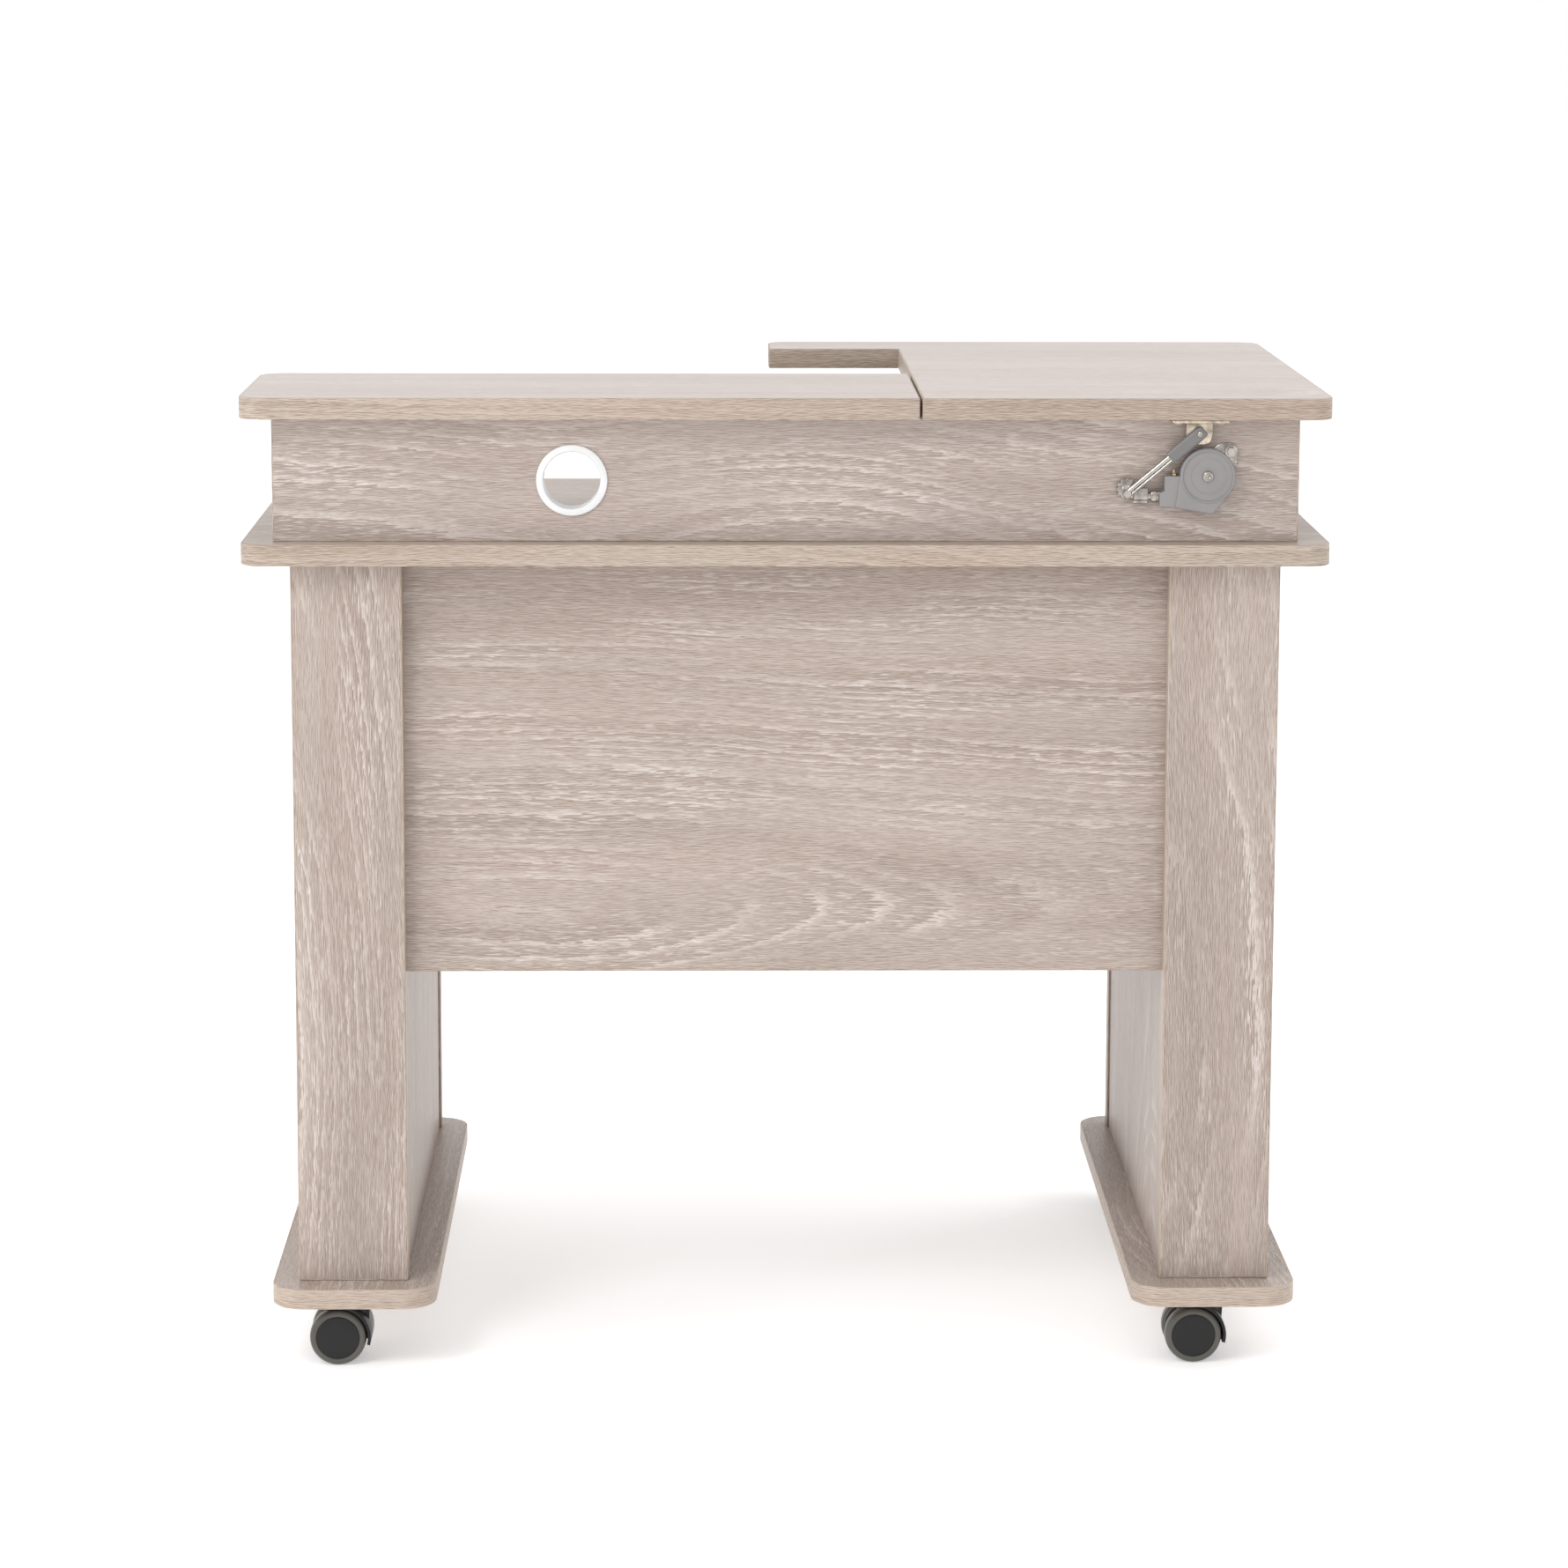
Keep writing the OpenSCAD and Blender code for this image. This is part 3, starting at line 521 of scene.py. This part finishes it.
low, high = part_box("lower_board")
leg_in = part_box("leg_right_back")[0].x
notch = high.y - RECESS
leg_rows = sorted({round(s * (leg_in + d), 5) for s in (-1, 1) for d in LEG_SCREWS_X})
board("lower_board", "z", "table", "board_laminate", mat_board, offset=(2.4, 0.33),
      corners=[(low.x, low.y, TOP_R), (high.x, low.y, TOP_R), (high.x, high.y, TOP_R),
               (leg_in, high.y, EASED), (leg_in, notch, 0), (-leg_in, notch, 0),
               (-leg_in, high.y, EASED), (low.x, high.y, TOP_R)],
      pockets=[(x, y, SCREW_HEAD_R, SCREW_HEAD_H, True) for x in leg_rows for y in LEG_SCREWS_Y])

grommet_low, grommet_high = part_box("grommet")
grommet_at = (grommet_low + grommet_high) / 2
board("apron", "y", "table", "panel_laminate", mat_apron, offset=(3.3, -0.76),
      holes=[(grommet_at.x, grommet_at.z, GROMMET_BORE_R)])
board("modesty_panel", "y", "table", "panel_laminate", mat_panel, offset=(0.25, -0.42))
board("box_end_left", "x", "table", "panel_laminate", mat_panel, offset=(5.1, -0.7))
board("box_end_right", "x", "table", "panel_laminate", mat_panel, offset=(6.2, -0.7))
board("box_divider", "x", "table", "panel_laminate", mat_panel, offset=(7.3, -0.7))

for side, shift in (("left", 0.0), ("right", 4.0)):
    leg_low, leg_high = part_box(f"leg_{side}_back")
    middle = (leg_low.x + leg_high.x) / 2
    board(f"leg_{side}_back", "y", "table", "leg_laminate", mat_leg, "v", (-middle, shift))
    board(f"leg_{side}_front", "y", "table", "leg_laminate", mat_leg, "v", (-middle, shift + 1.6))
    board(f"leg_{side}_inner", "x", "table", "leg_laminate", mat_leg, "v", (0.1, shift + 2.4))
    board(f"leg_{side}_outer", "x", "table", "leg_laminate", mat_leg, "v", (0.2, shift + 3.1))
    low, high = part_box(f"foot_{side}")
    board(f"foot_{side}", "z", "table", "board_laminate", mat_board, "v", (0.3, shift),
          corners=rectangle(low.x, low.y, high.x, high.y, FOOT_R),
          pockets=[(leg_low.x + x, y, SCREW_HEAD_R, SCREW_HEAD_H, False)
                   for x in FOOT_SCREWS_X for y in FOOT_SCREWS_Y])

# ---------------------------------------------------------------- cable grommet

INTO = (0, 1, 0)  # from the apron's side into the table
UP = (0, 0, 1)
FLANGE_T = 0.0020
GROMMET_L = 0.0210

bm = bmesh.new()
ring_profile = [(0.0235, GROMMET_L), (0.0235, 0.0016), (0.0238, 0.0006), (0.0245, 0.0), (0.0282, 0.0),
                (0.0292, 0.0004), (0.0295, 0.0011), (0.0295, FLANGE_T), (0.0254, FLANGE_T),
                (0.0254, GROMMET_L), (0.0235, GROMMET_L)]
lathe(bm, ring_profile, (grommet_at.x, grommet_low.y, grommet_at.z), INTO, n=96)
piece(bm, "grommet_ring", [mat_white], "table", "white_plastic", "grommet")

# ---------------------------------------------------------------- lid stay

joint_at = {joint["name"]: Vector(joint["pos_m"]) for joint in frame["joints"]}
pivot = joint_at["stay_arm_pivot"]
# the rod's two ends and the ear's bolt, in the plane of the stay
foot = Vector((0.281, 0, 0.745))
head = Vector((joint_at["stay_link_pivot"].x, 0, joint_at["stay_link_pivot"].z))
bolt = Vector((0.367, 0, 0.7795))
along = (head - foot).normalized()
across = Vector((-along.z, 0, along.x))
sleeve_start = head - along * 0.032


def around(points):
    """[x, z, radius] in millimetres about the stay's pivot, as outline corners."""
    return [(pivot.x + x * MM, pivot.z + z * MM, r * MM) for x, z, r in points]


def ridge(outer, inner, shoulder, top):
    """Profile of a raised ring with bevelled edges, sunk a little into the face it stands on."""
    bevel, sunk = 0.0004, 0.0002
    return [(outer, sunk), (outer, -shoulder), (outer - bevel, -top),
            (inner + bevel, -top), (inner, -shoulder), (inner, sunk)]


def stay_drum():
    """The grey housing: a round drum with a straight-sided heel and raised rings on its face."""
    low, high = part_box("stay_housing")
    face_at = (pivot.x, low.y, pivot.z)
    drum = arc(0, 0, 23.0, -42, 180, 48)
    heel = [(-26.5, -26.0, 1.2), (1.0, -31.0, 3), (5.0, -31.0, 3)]
    bm = bmesh.new()
    slab(bm, "y", around(drum + heel), -high.y, -low.y, rounding(0.0013, 4))
    lathe(bm, ridge(0.0222, 0.0206, 0.0005, 0.0009), face_at, INTO, n=96)
    lathe(bm, ridge(0.0155, 0.0141, 0.0002, 0.0004), face_at, INTO, n=96)
    boss = [(0.0068, 0.0002), (0.0066, -0.0003), (0.0056, -0.0004), (0.0050, -0.0001), (0.0050, 0.0002)]
    lathe(bm, boss, face_at, INTO)
    piece(bm, "stay_drum", [mat_grey], "stay_arm", "grey_plastic", "stay_housing")


def stay_shoulder():
    """The block beside the drum that carries the adjuster and the plunger."""
    low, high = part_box("stay_block")
    corners = around([(-22.6, 0, 0.3), (-35.5, 0, 0.8), (-35.5, -12.5, 0.6), (-39.5, -14.0, 0.8),
                      (-39.5, -25.5, 0.8), (-26.0, -25.5, 0.3)])
    bm = bmesh.new()
    slab(bm, "y", corners, -high.y, -low.y, rounding(0.0007))
    piece(bm, "stay_shoulder", [mat_grey], "stay_arm", "grey_plastic", "stay_block")


def adjuster_screw():
    """The brass screw on the shoulder, with a hollow in its end."""
    low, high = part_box("stay_adjuster")
    centre = (low + high) / 2
    profile = [(0, -0.0004), (0.0024, -0.0004), (0.0026, 0), (0.0026, 0.0020), (0.0021, 0.0023),
               (0.0017, 0.0024), (0.0017, 0.0044), (0.0014, 0.0049), (0.0005, 0.0050),
               (0.0005, 0.0040), (0, 0.0040)]
    bm = bmesh.new()
    lathe(bm, profile, (centre.x, centre.y, low.z), UP, n=32)
    piece(bm, "adjuster_screw", [mat_brass], "stay_arm", "brass", "stay_adjuster")


def plunger_tab():
    """The flattened plunger between shoulder and knee, its tab and the lip under the tab."""
    low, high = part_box("stay_plunger")
    mid_y = (low.y + high.y) / 2
    z = pivot.z - 0.0175
    shoulder_x = pivot.x - 0.0395
    flattening = 0.53
    profile = [(0, -0.0005), (0.0042, -0.0005), (0.0045, 0.0), (0.0045, 0.0011), (0.0037, 0.0014),
               (0.0037, 0.0022), (0.0045, 0.0025), (0.0047, 0.0029), (0.0047, 0.0058), (0.0041, 0.0066),
               (0.0027, 0.0069), (0.0025, 0.0072), (0.0025, 0.0098), (0, 0.0098)]
    bm = bmesh.new()
    lathe(bm, profile, (shoulder_x + 0.0001, mid_y, z), (-1, 0, 0), n=48)
    for vert in bm.verts:
        vert.co.y = mid_y + (vert.co.y - mid_y) * flattening
    tab = rectangle(low.x, z - 0.0030, low.x + 0.0118, z + 0.0068, 0.0008)
    lip = rectangle(low.x - 0.0004, z - 0.0052, low.x + 0.0112, z - 0.0030, 0.0006)
    slab(bm, "y", tab, -(mid_y + 0.0015), -(mid_y - 0.0015), rounding(0.0004))
    slab(bm, "y", lip, -high.y, -low.y, rounding(0.0004))
    piece(bm, "plunger_tab", [mat_nickel], "stay_arm", "nickel", "stay_plunger")


def knee_cheek():
    """The toothed cheek at the knee, with a raised middle and five small rivets."""
    low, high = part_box("stay_knee")
    knee = (low + high) / 2
    teeth = []
    for k in range(60):
        a = 2 * math.pi * k / 60
        r = (9.1, 8.6, 7.8, 7.4, 8.2)[k % 5] * MM
        teeth.append((knee.x + r * math.cos(a), knee.z + r * math.sin(a), 0))
    bm = bmesh.new()
    slab(bm, "y", teeth, -high.y, -(low.y + 0.0015), rounding(0.0003, 2))
    middle = [(0, 0), (0.0034, 0), (0.0040, 0.0005), (0.0040, 0.0020)]
    lathe(bm, middle, (knee.x, low.y, knee.z), INTO, n=32)
    for k in range(5):
        a = 2 * math.pi * k / 5 + 0.4
        at = (knee.x + 0.0058 * math.cos(a), low.y + 0.0015, knee.z + 0.0058 * math.sin(a))
        lathe(bm, [(0, -0.0003), (0.0008, -0.0002), (0.0011, 0.0002)], at, INTO, n=16)
    piece(bm, "knee_cheek", [mat_nickel], "stay_arm", "nickel", "stay_knee", angle=25)


def stay_rods():
    """The bright rod, a thinner one beside it, and the pin through the rod's foot."""
    low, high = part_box("stay_rod")
    mid_y = (low.y + high.y) / 2
    bm = bmesh.new()
    for shift, r in ((0.0012, 0.0022), (-0.0022, 0.0012)):
        start = foot + across * shift - along * 0.0018
        length = (sleeve_start - foot).length + 0.0038
        profile = [(0, 0), (r - 0.0003, 0), (r, 0.0004), (r, length)]
        lathe(bm, profile, (start.x, mid_y, start.z), along, n=40)
    pin = [(0, -0.0024), (0.0030, -0.0024), (0.0034, -0.0020), (0.0034, 0.0020), (0.0030, 0.0024),
           (0, 0.0024)]
    lathe(bm, pin, (foot.x, mid_y, foot.z), INTO, n=40)
    piece(bm, "stay_rods", [mat_chrome], "stay_link", "chrome", "stay_rod")


def stay_tube():
    """The plastic sleeve over the rods: a rounded box, as (distance along, scale) sections."""
    low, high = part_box("stay_sleeve")
    mid_y = (low.y + high.y) / 2
    wide, deep = 0.0055, (high.y - low.y) / 2
    squareness = 0.75
    bm = bmesh.new()
    rings = []
    for t, scale in ((0.0, 0.90), (0.0006, 0.98), (0.0014, 1.0), (0.0305, 1.0), (0.0340, 0.99),
                     (0.0362, 0.90), (0.0370, 0.6)):
        ring = []
        for k in range(40):
            a = 2 * math.pi * k / 40
            c = math.copysign(abs(math.cos(a)) ** squareness, math.cos(a))
            d = math.copysign(abs(math.sin(a)) ** squareness, math.sin(a))
            at = sleeve_start + along * t + across * (wide * scale * c)
            ring.append(bm.verts.new((at.x, mid_y + deep * scale * d, at.z)))
        rings.append(ring)
    for a, b in zip(rings, rings[1:]):
        skirt(bm, a, b)
    bm.faces.new(rings[0])
    bm.faces.new(rings[-1])
    piece(bm, "stay_tube", [mat_sleeve], "stay_link", "sleeve_plastic", "stay_sleeve")


def stay_ear():
    """The plated ear behind the drum, with a raised rim along its edge."""
    low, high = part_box("stay_plate")
    ear = around([(0, -12, 5), (12.5, -4, 5), (27.8, 13.0, 6.9), (24.0, 27.2, 6.6), (10.5, 26.2, 6),
                  (-8.5, 8.0, 6), (-11, -6, 5)])
    bm = bmesh.new()
    slab(bm, "y", ear, -high.y, -(low.y + 0.0006), rounding(0.0005))
    # the rim's section, from outside to inside, as (inset, depth)
    section = ((0.0004, 0.0008), (0.0004, 0.0002), (0.0007, 0.0), (0.0012, 0.0), (0.0015, 0.0002),
               (0.0015, 0.0008))
    rim = []
    for inset, depth in section:
        points = outline(ear, inset)
        rim.append([bm.verts.new((p.x, low.y + depth, p.y)) for p in points])
    for a, b in zip(rim, rim[1:]):
        skirt(bm, a, b)
    piece(bm, "stay_ear", [mat_nickel], "table", "nickel", "stay_plate")


def ear_bolt():
    """The ear's hexagon head on its washer."""
    low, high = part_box("stay_bolt")
    washer_t = 0.0007
    washer_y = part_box("stay_plate")[0].y - washer_t
    turns = [math.radians(60 * k) for k in range(6)]
    hexagon = [(bolt.x + 0.0037 * math.cos(a), bolt.z + 0.0037 * math.sin(a), 0.0002) for a in turns]
    washer = [(0, 0), (0.0052, 0), (0.0054, 0.0002), (0.0054, washer_t), (0, washer_t)]
    bm = bmesh.new()
    lathe(bm, washer, (bolt.x, washer_y, bolt.z), INTO)
    slab(bm, "y", hexagon, -washer_y, -low.y, rounding(0.0006, 3))
    piece(bm, "ear_bolt", [mat_nickel], "table", "nickel", "stay_bolt")


def pivot_screw():
    """The drum's screw: a domed head with four small studs in its hollow."""
    low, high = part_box("stay_pivot_screw")
    profile = [(0, 0.0009), (0.0014, 0.0009), (0.0017, 0.0006), (0.0025, 0.0004), (0.0029, 0.0001),
               (0.0036, 0.0), (0.0042, 0.0003), (0.0045, 0.0009), (0.0045, 0.0013), (0.0030, 0.0014),
               (0.0030, 0.0200), (0, 0.0200)]
    bm = bmesh.new()
    lathe(bm, profile, (pivot.x, low.y, pivot.z), INTO, n=48)
    for k in range(4):
        a = math.pi / 2 * k + 0.35
        at = (pivot.x + 0.0019 * math.cos(a), low.y, pivot.z + 0.0019 * math.sin(a))
        lathe(bm, [(0, 0.0002), (0.0005, 0.0003), (0.0006, 0.0009)], at, INTO, n=12)
    piece(bm, "pivot_screw", [mat_nickel], "table", "nickel", "stay_pivot_screw")


def lid_bracket():
    """The bracket under the lid: a flat plate and the lug that takes the rod's rivet."""
    low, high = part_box("stay_lid_bracket")
    lug_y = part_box("stay_rivet")[1].y
    lug_top = high.z - 0.0026
    lug = [(head.x - 0.0108, head.z, 0.0), (head.x - 0.0092, head.z - 0.0095, 0.006),
           (head.x + 0.0092, head.z - 0.0095, 0.006), (head.x + 0.0108, head.z, 0),
           (head.x + 0.0108, lug_top, 0.0005), (head.x - 0.0108, lug_top, 0.0005)]
    plate = rectangle(low.x, low.y, high.x, high.y, 0.003)
    bm = bmesh.new()
    slab(bm, "z", plate, high.z - 0.0028, high.z - CLEAR, rounding(0.0008))
    slab(bm, "y", lug, -lug_y, -(lug_y - 0.002), rounding(0.0005))
    piece(bm, "lid_bracket", [mat_bracket], "lid", "bracket_steel", "stay_lid_bracket")


def lid_rivet():
    """The rivet through the rod's head."""
    low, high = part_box("stay_rivet")
    length = high.y - low.y
    profile = [(0, 0.0007), (0.0007, 0.0006), (0.0009, 0.0001), (0.0015, 0.0), (0.0021, 0.0003),
               (0.0024, 0.0009), (0.0020, 0.0010), (0.0020, length), (0, length)]
    bm = bmesh.new()
    lathe(bm, profile, (head.x, low.y, head.z), INTO, n=32)
    piece(bm, "lid_rivet", [mat_nickel], "lid", "nickel", "stay_rivet")


for make in (stay_drum, stay_shoulder, adjuster_screw, plunger_tab, knee_cheek, stay_rods, stay_tube,
             stay_ear, ear_bolt, pivot_screw, lid_bracket, lid_rivet):
    make()

# ---------------------------------------------------------------- casters

WHEEL_R = 0.024
WHEEL_WIDTH = 0.0155
CAP_R = 0.0183
HOOD_OUTER_R = 0.0279
HOOD_INNER_R = 0.0252
PLATE_T = 0.002
WEB_SLOT = 2  # a wheel's materials are its tread's, its cap's and its web's


def rib(bm, centre, s, a):
    """A thin radial rib of a wheel's web at angle a, s being the wheel's side, on the web's slot."""
    radial = Vector((math.cos(a), 0, math.sin(a)))
    cross = Vector((-math.sin(a), 0, math.cos(a))) * 0.0006
    corners = [bm.verts.new(centre + radial * r + Vector((0, s * h, 0)) + cross * c)
               for r in (0.0058, 0.0189) for h in (0.0012, 0.0086) for c in (-1, 1)]
    for quad in ((0, 1, 3, 2), (4, 6, 7, 5), (0, 4, 5, 1), (2, 3, 7, 6), (0, 2, 6, 4), (1, 5, 7, 3)):
        bm.faces.new([corners[i] for i in quad]).material_index = WEB_SLOT


def wheel(corner, end):
    """One wheel of a pair: tread ring, hub cap outside and a ribbed web inside."""
    s = -1 if end == "a" else 1
    low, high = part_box(f"caster_{corner}_wheel_{end}")
    inner = low.y if s > 0 else high.y
    centre = Vector(((low.x + high.x) / 2, inner, (low.z + high.z) / 2))
    outwards = (0, s, 0)
    tread = [(0.0195, 0.0006), (0.0215, 0.0), (0.0226, 0.0006), (0.0237, 0.0022), (WHEEL_R, 0.0048),
             (WHEEL_R, 0.0100), (0.0237, 0.0126), (0.0229, 0.0144), (0.0216, 0.0153),
             (0.0200, WHEEL_WIDTH), (0.0189, 0.0153), (CAP_R, 0.0147)]
    hub = [(CAP_R, 0.0147), (CAP_R - 0.0004, 0.0151), (CAP_R - 0.0012, 0.0153), (0.012, 0.0151),
           (0.006, 0.0150), (0, 0.0150)]
    web = [(0.0195, 0.0006), (0.0190, 0.0020), (0.0186, 0.0075), (0.0175, 0.0085), (0.0070, 0.0085),
           (0.0062, 0.0080), (0.0062, 0.0002), (0.0056, 0.0), (0.0031, 0.0), (0.0031, 0.0120),
           (0, 0.0120)]
    bm = bmesh.new()
    for slot, profile in enumerate((tread, hub, web)):
        lathe(bm, profile, centre, outwards, slot, n=96)
    for k in range(6):
        rib(bm, centre, s, math.pi / 3 * k + 0.3)
    piece(bm, f"wheel_{corner}_{end}", [mat_tread, mat_cap, mat_black], f"caster_{corner}_wheel_{end}",
          "wheel_tread", f"caster_{corner}_wheel_{end}")


def hood(corner, swivel):
    """The moulded hood: a web between the wheels, the curved fender over them and the swivel's boss."""
    low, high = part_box(f"caster_{corner}_hood")
    centre = Vector((low.x + 0.020, (low.y + high.y) / 2, WHEEL_R))
    web = arc(centre.x, centre.z, 0.0130, -200, -20, 36)
    web += [(centre.x + 0.0245, centre.z - 0.006, 0.002), (centre.x + 0.0262, centre.z + 0.024, 0.003),
            (centre.x - 0.0120, centre.z + 0.0265, 0.003)]
    fender = arc(centre.x, centre.z, HOOD_OUTER_R, -14, 110, 24)
    fender += arc(centre.x, centre.z, HOOD_INNER_R, 110, -14, 24)
    boss = [(0, -0.0105), (0.0100, -0.0105), (0.0112, -0.0030), (0.0118, -0.0008), (0.0112, 0.0), (0, 0.0)]
    bm = bmesh.new()
    slab(bm, "y", web, -(centre.y + 0.0058), -(centre.y - 0.0058), rounding(0.0008))
    slab(bm, "y", fender, -high.y, -low.y, rounding(0.0006, 2))
    lathe(bm, boss, (swivel.x, swivel.y, high.z), UP)
    piece(bm, f"hood_{corner}", [mat_black], f"caster_{corner}", "black_plastic", f"caster_{corner}_hood")


def mount(corner, swivel):
    """The plated mounting plate with its pressed race and the kingpin."""
    low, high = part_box(f"caster_{corner}_mount")
    race_z = high.z - PLATE_T
    pin_end = low.z - race_z
    race = [(0, 0), (0.0105, 0.0), (0.0100, -0.0010), (0.0090, -0.0016), (0.0085, -0.0024),
            (0.0060, -0.0026), (0.0030, -0.0026), (0.0030, pin_end), (0, pin_end)]
    plate = rectangle(low.x, low.y, high.x, high.y, 0.004)
    bm = bmesh.new()
    slab(bm, "z", plate, race_z, high.z - CLEAR, rounding(0.0005))
    lathe(bm, race, (swivel.x, swivel.y, race_z), UP)
    piece(bm, f"plate_{corner}", [mat_zinc], "table", "zinc", f"caster_{corner}_mount")


for corner, where in (("bl", "back_left"), ("br", "back_right"),
                      ("fl", "front_left"), ("fr", "front_right")):
    swivel = joint_at[f"{where}_caster_swivel"]
    hood(corner, swivel)
    mount(corner, swivel)
    wheel(corner, "a")
    wheel(corner, "b")
    frame["nodes"][f"caster_{corner}_axle"].data.materials[0] = mat_zinc

for node in ("hinge_leaves_box", "hinge_leaves_lid", "hinge_pins", "hinge_screws", "lid_screws",
             "foot_screws", "leg_screws", "caster_screws"):
    frame["nodes"][node].data.materials[0] = mat_zinc

# ---------------------------------------------------------------- floor, light and camera

WHITE = (1.0, 1.0, 1.0)
FLOOR_GLOW = 0.32  # keeps the floor white where the table shades it
FLOOR_HALF = 30
FOCAL_LENGTH_MM = 104.46
CAMERA_AT = (-0.0722, -3.9878, 1.1891)
YAW, PITCH, ROLL = 0.0189, 0.1481, 0.0027


def studio_floor():
    """A wide white floor that the table's shadows fall on."""
    n = Nodes("studio_floor")
    grit = n.noise(n.add("ShaderNodeTexCoord").outputs["Object"], 3.0, 3)
    n.set(Base_Color=n.ramp(grit, [(0.3, (0.87, 0.87, 0.87)), (0.7, (0.89, 0.89, 0.89))]))
    n.set(Roughness=0.7, Specular_IOR_Level=0.2, Emission_Color=WHITE, Emission_Strength=FLOOR_GLOW)
    bm = bmesh.new()
    bmesh.ops.create_grid(bm, x_segments=8, y_segments=8, size=FLOOR_HALF)
    finish_mesh(bm, "floor", [n.material])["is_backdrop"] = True


def white_world():
    world = bpy.data.worlds.new("studio")
    world.use_nodes = True
    background = world.node_tree.nodes["Background"]
    background.inputs["Color"].default_value = (*WHITE, 1)
    background.inputs["Strength"].default_value = 1.0
    bpy.context.scene.world = world


def area_light(name, at, target, size, power):
    """A square softbox of size metres and power watts, at a place and facing a target."""
    data = bpy.data.lights.new(name, "AREA")
    data.shape = "RECTANGLE"
    data.size = size
    data.size_y = size
    data.energy = power
    lamp = bpy.data.objects.new(name, data)
    bpy.context.scene.collection.objects.link(lamp)
    lamp.location = at
    lamp.rotation_euler = (Vector(target) - Vector(at)).to_track_quat("-Z", "Y").to_euler()


def main_camera():
    """The camera, with a raised lens (shift) and a slight tilt."""
    data = bpy.data.cameras.new("camera")
    camera = bpy.data.objects.new("camera", data)
    bpy.context.scene.collection.objects.link(camera)
    data.sensor_width = 36
    data.lens = FOCAL_LENGTH_MM
    data.shift_y = -0.10
    data.clip_end = 100
    ahead = math.cos(PITCH)
    forward = Vector((math.sin(YAW) * ahead, math.cos(YAW) * ahead, -math.sin(PITCH)))
    level = Vector((math.cos(YAW), -math.sin(YAW), 0))
    upright = level.cross(forward)
    right = level * math.cos(ROLL) + upright * math.sin(ROLL)
    up = upright * math.cos(ROLL) - level * math.sin(ROLL)
    turn = Matrix((right, up, -forward)).transposed()
    camera.matrix_world = Matrix.Translation(CAMERA_AT) @ turn.to_4x4()
    bpy.context.scene.camera = camera


studio_floor()
white_world()
area_light("key", at=(-1.6, -2.4, 2.9), target=(0.1, -0.2, 0.55), size=1.0, power=34)
area_light("side", at=(-3.0, -1.6, 1.2), target=(0, -0.1, 0.35), size=1.2, power=20)
area_light("right", at=(2.0, 0.9, 2.4), target=(0.3, 0, 0.7), size=1.2, power=14)
main_camera()
bpy.context.scene.view_settings.view_transform = "Standard"

low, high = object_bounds()
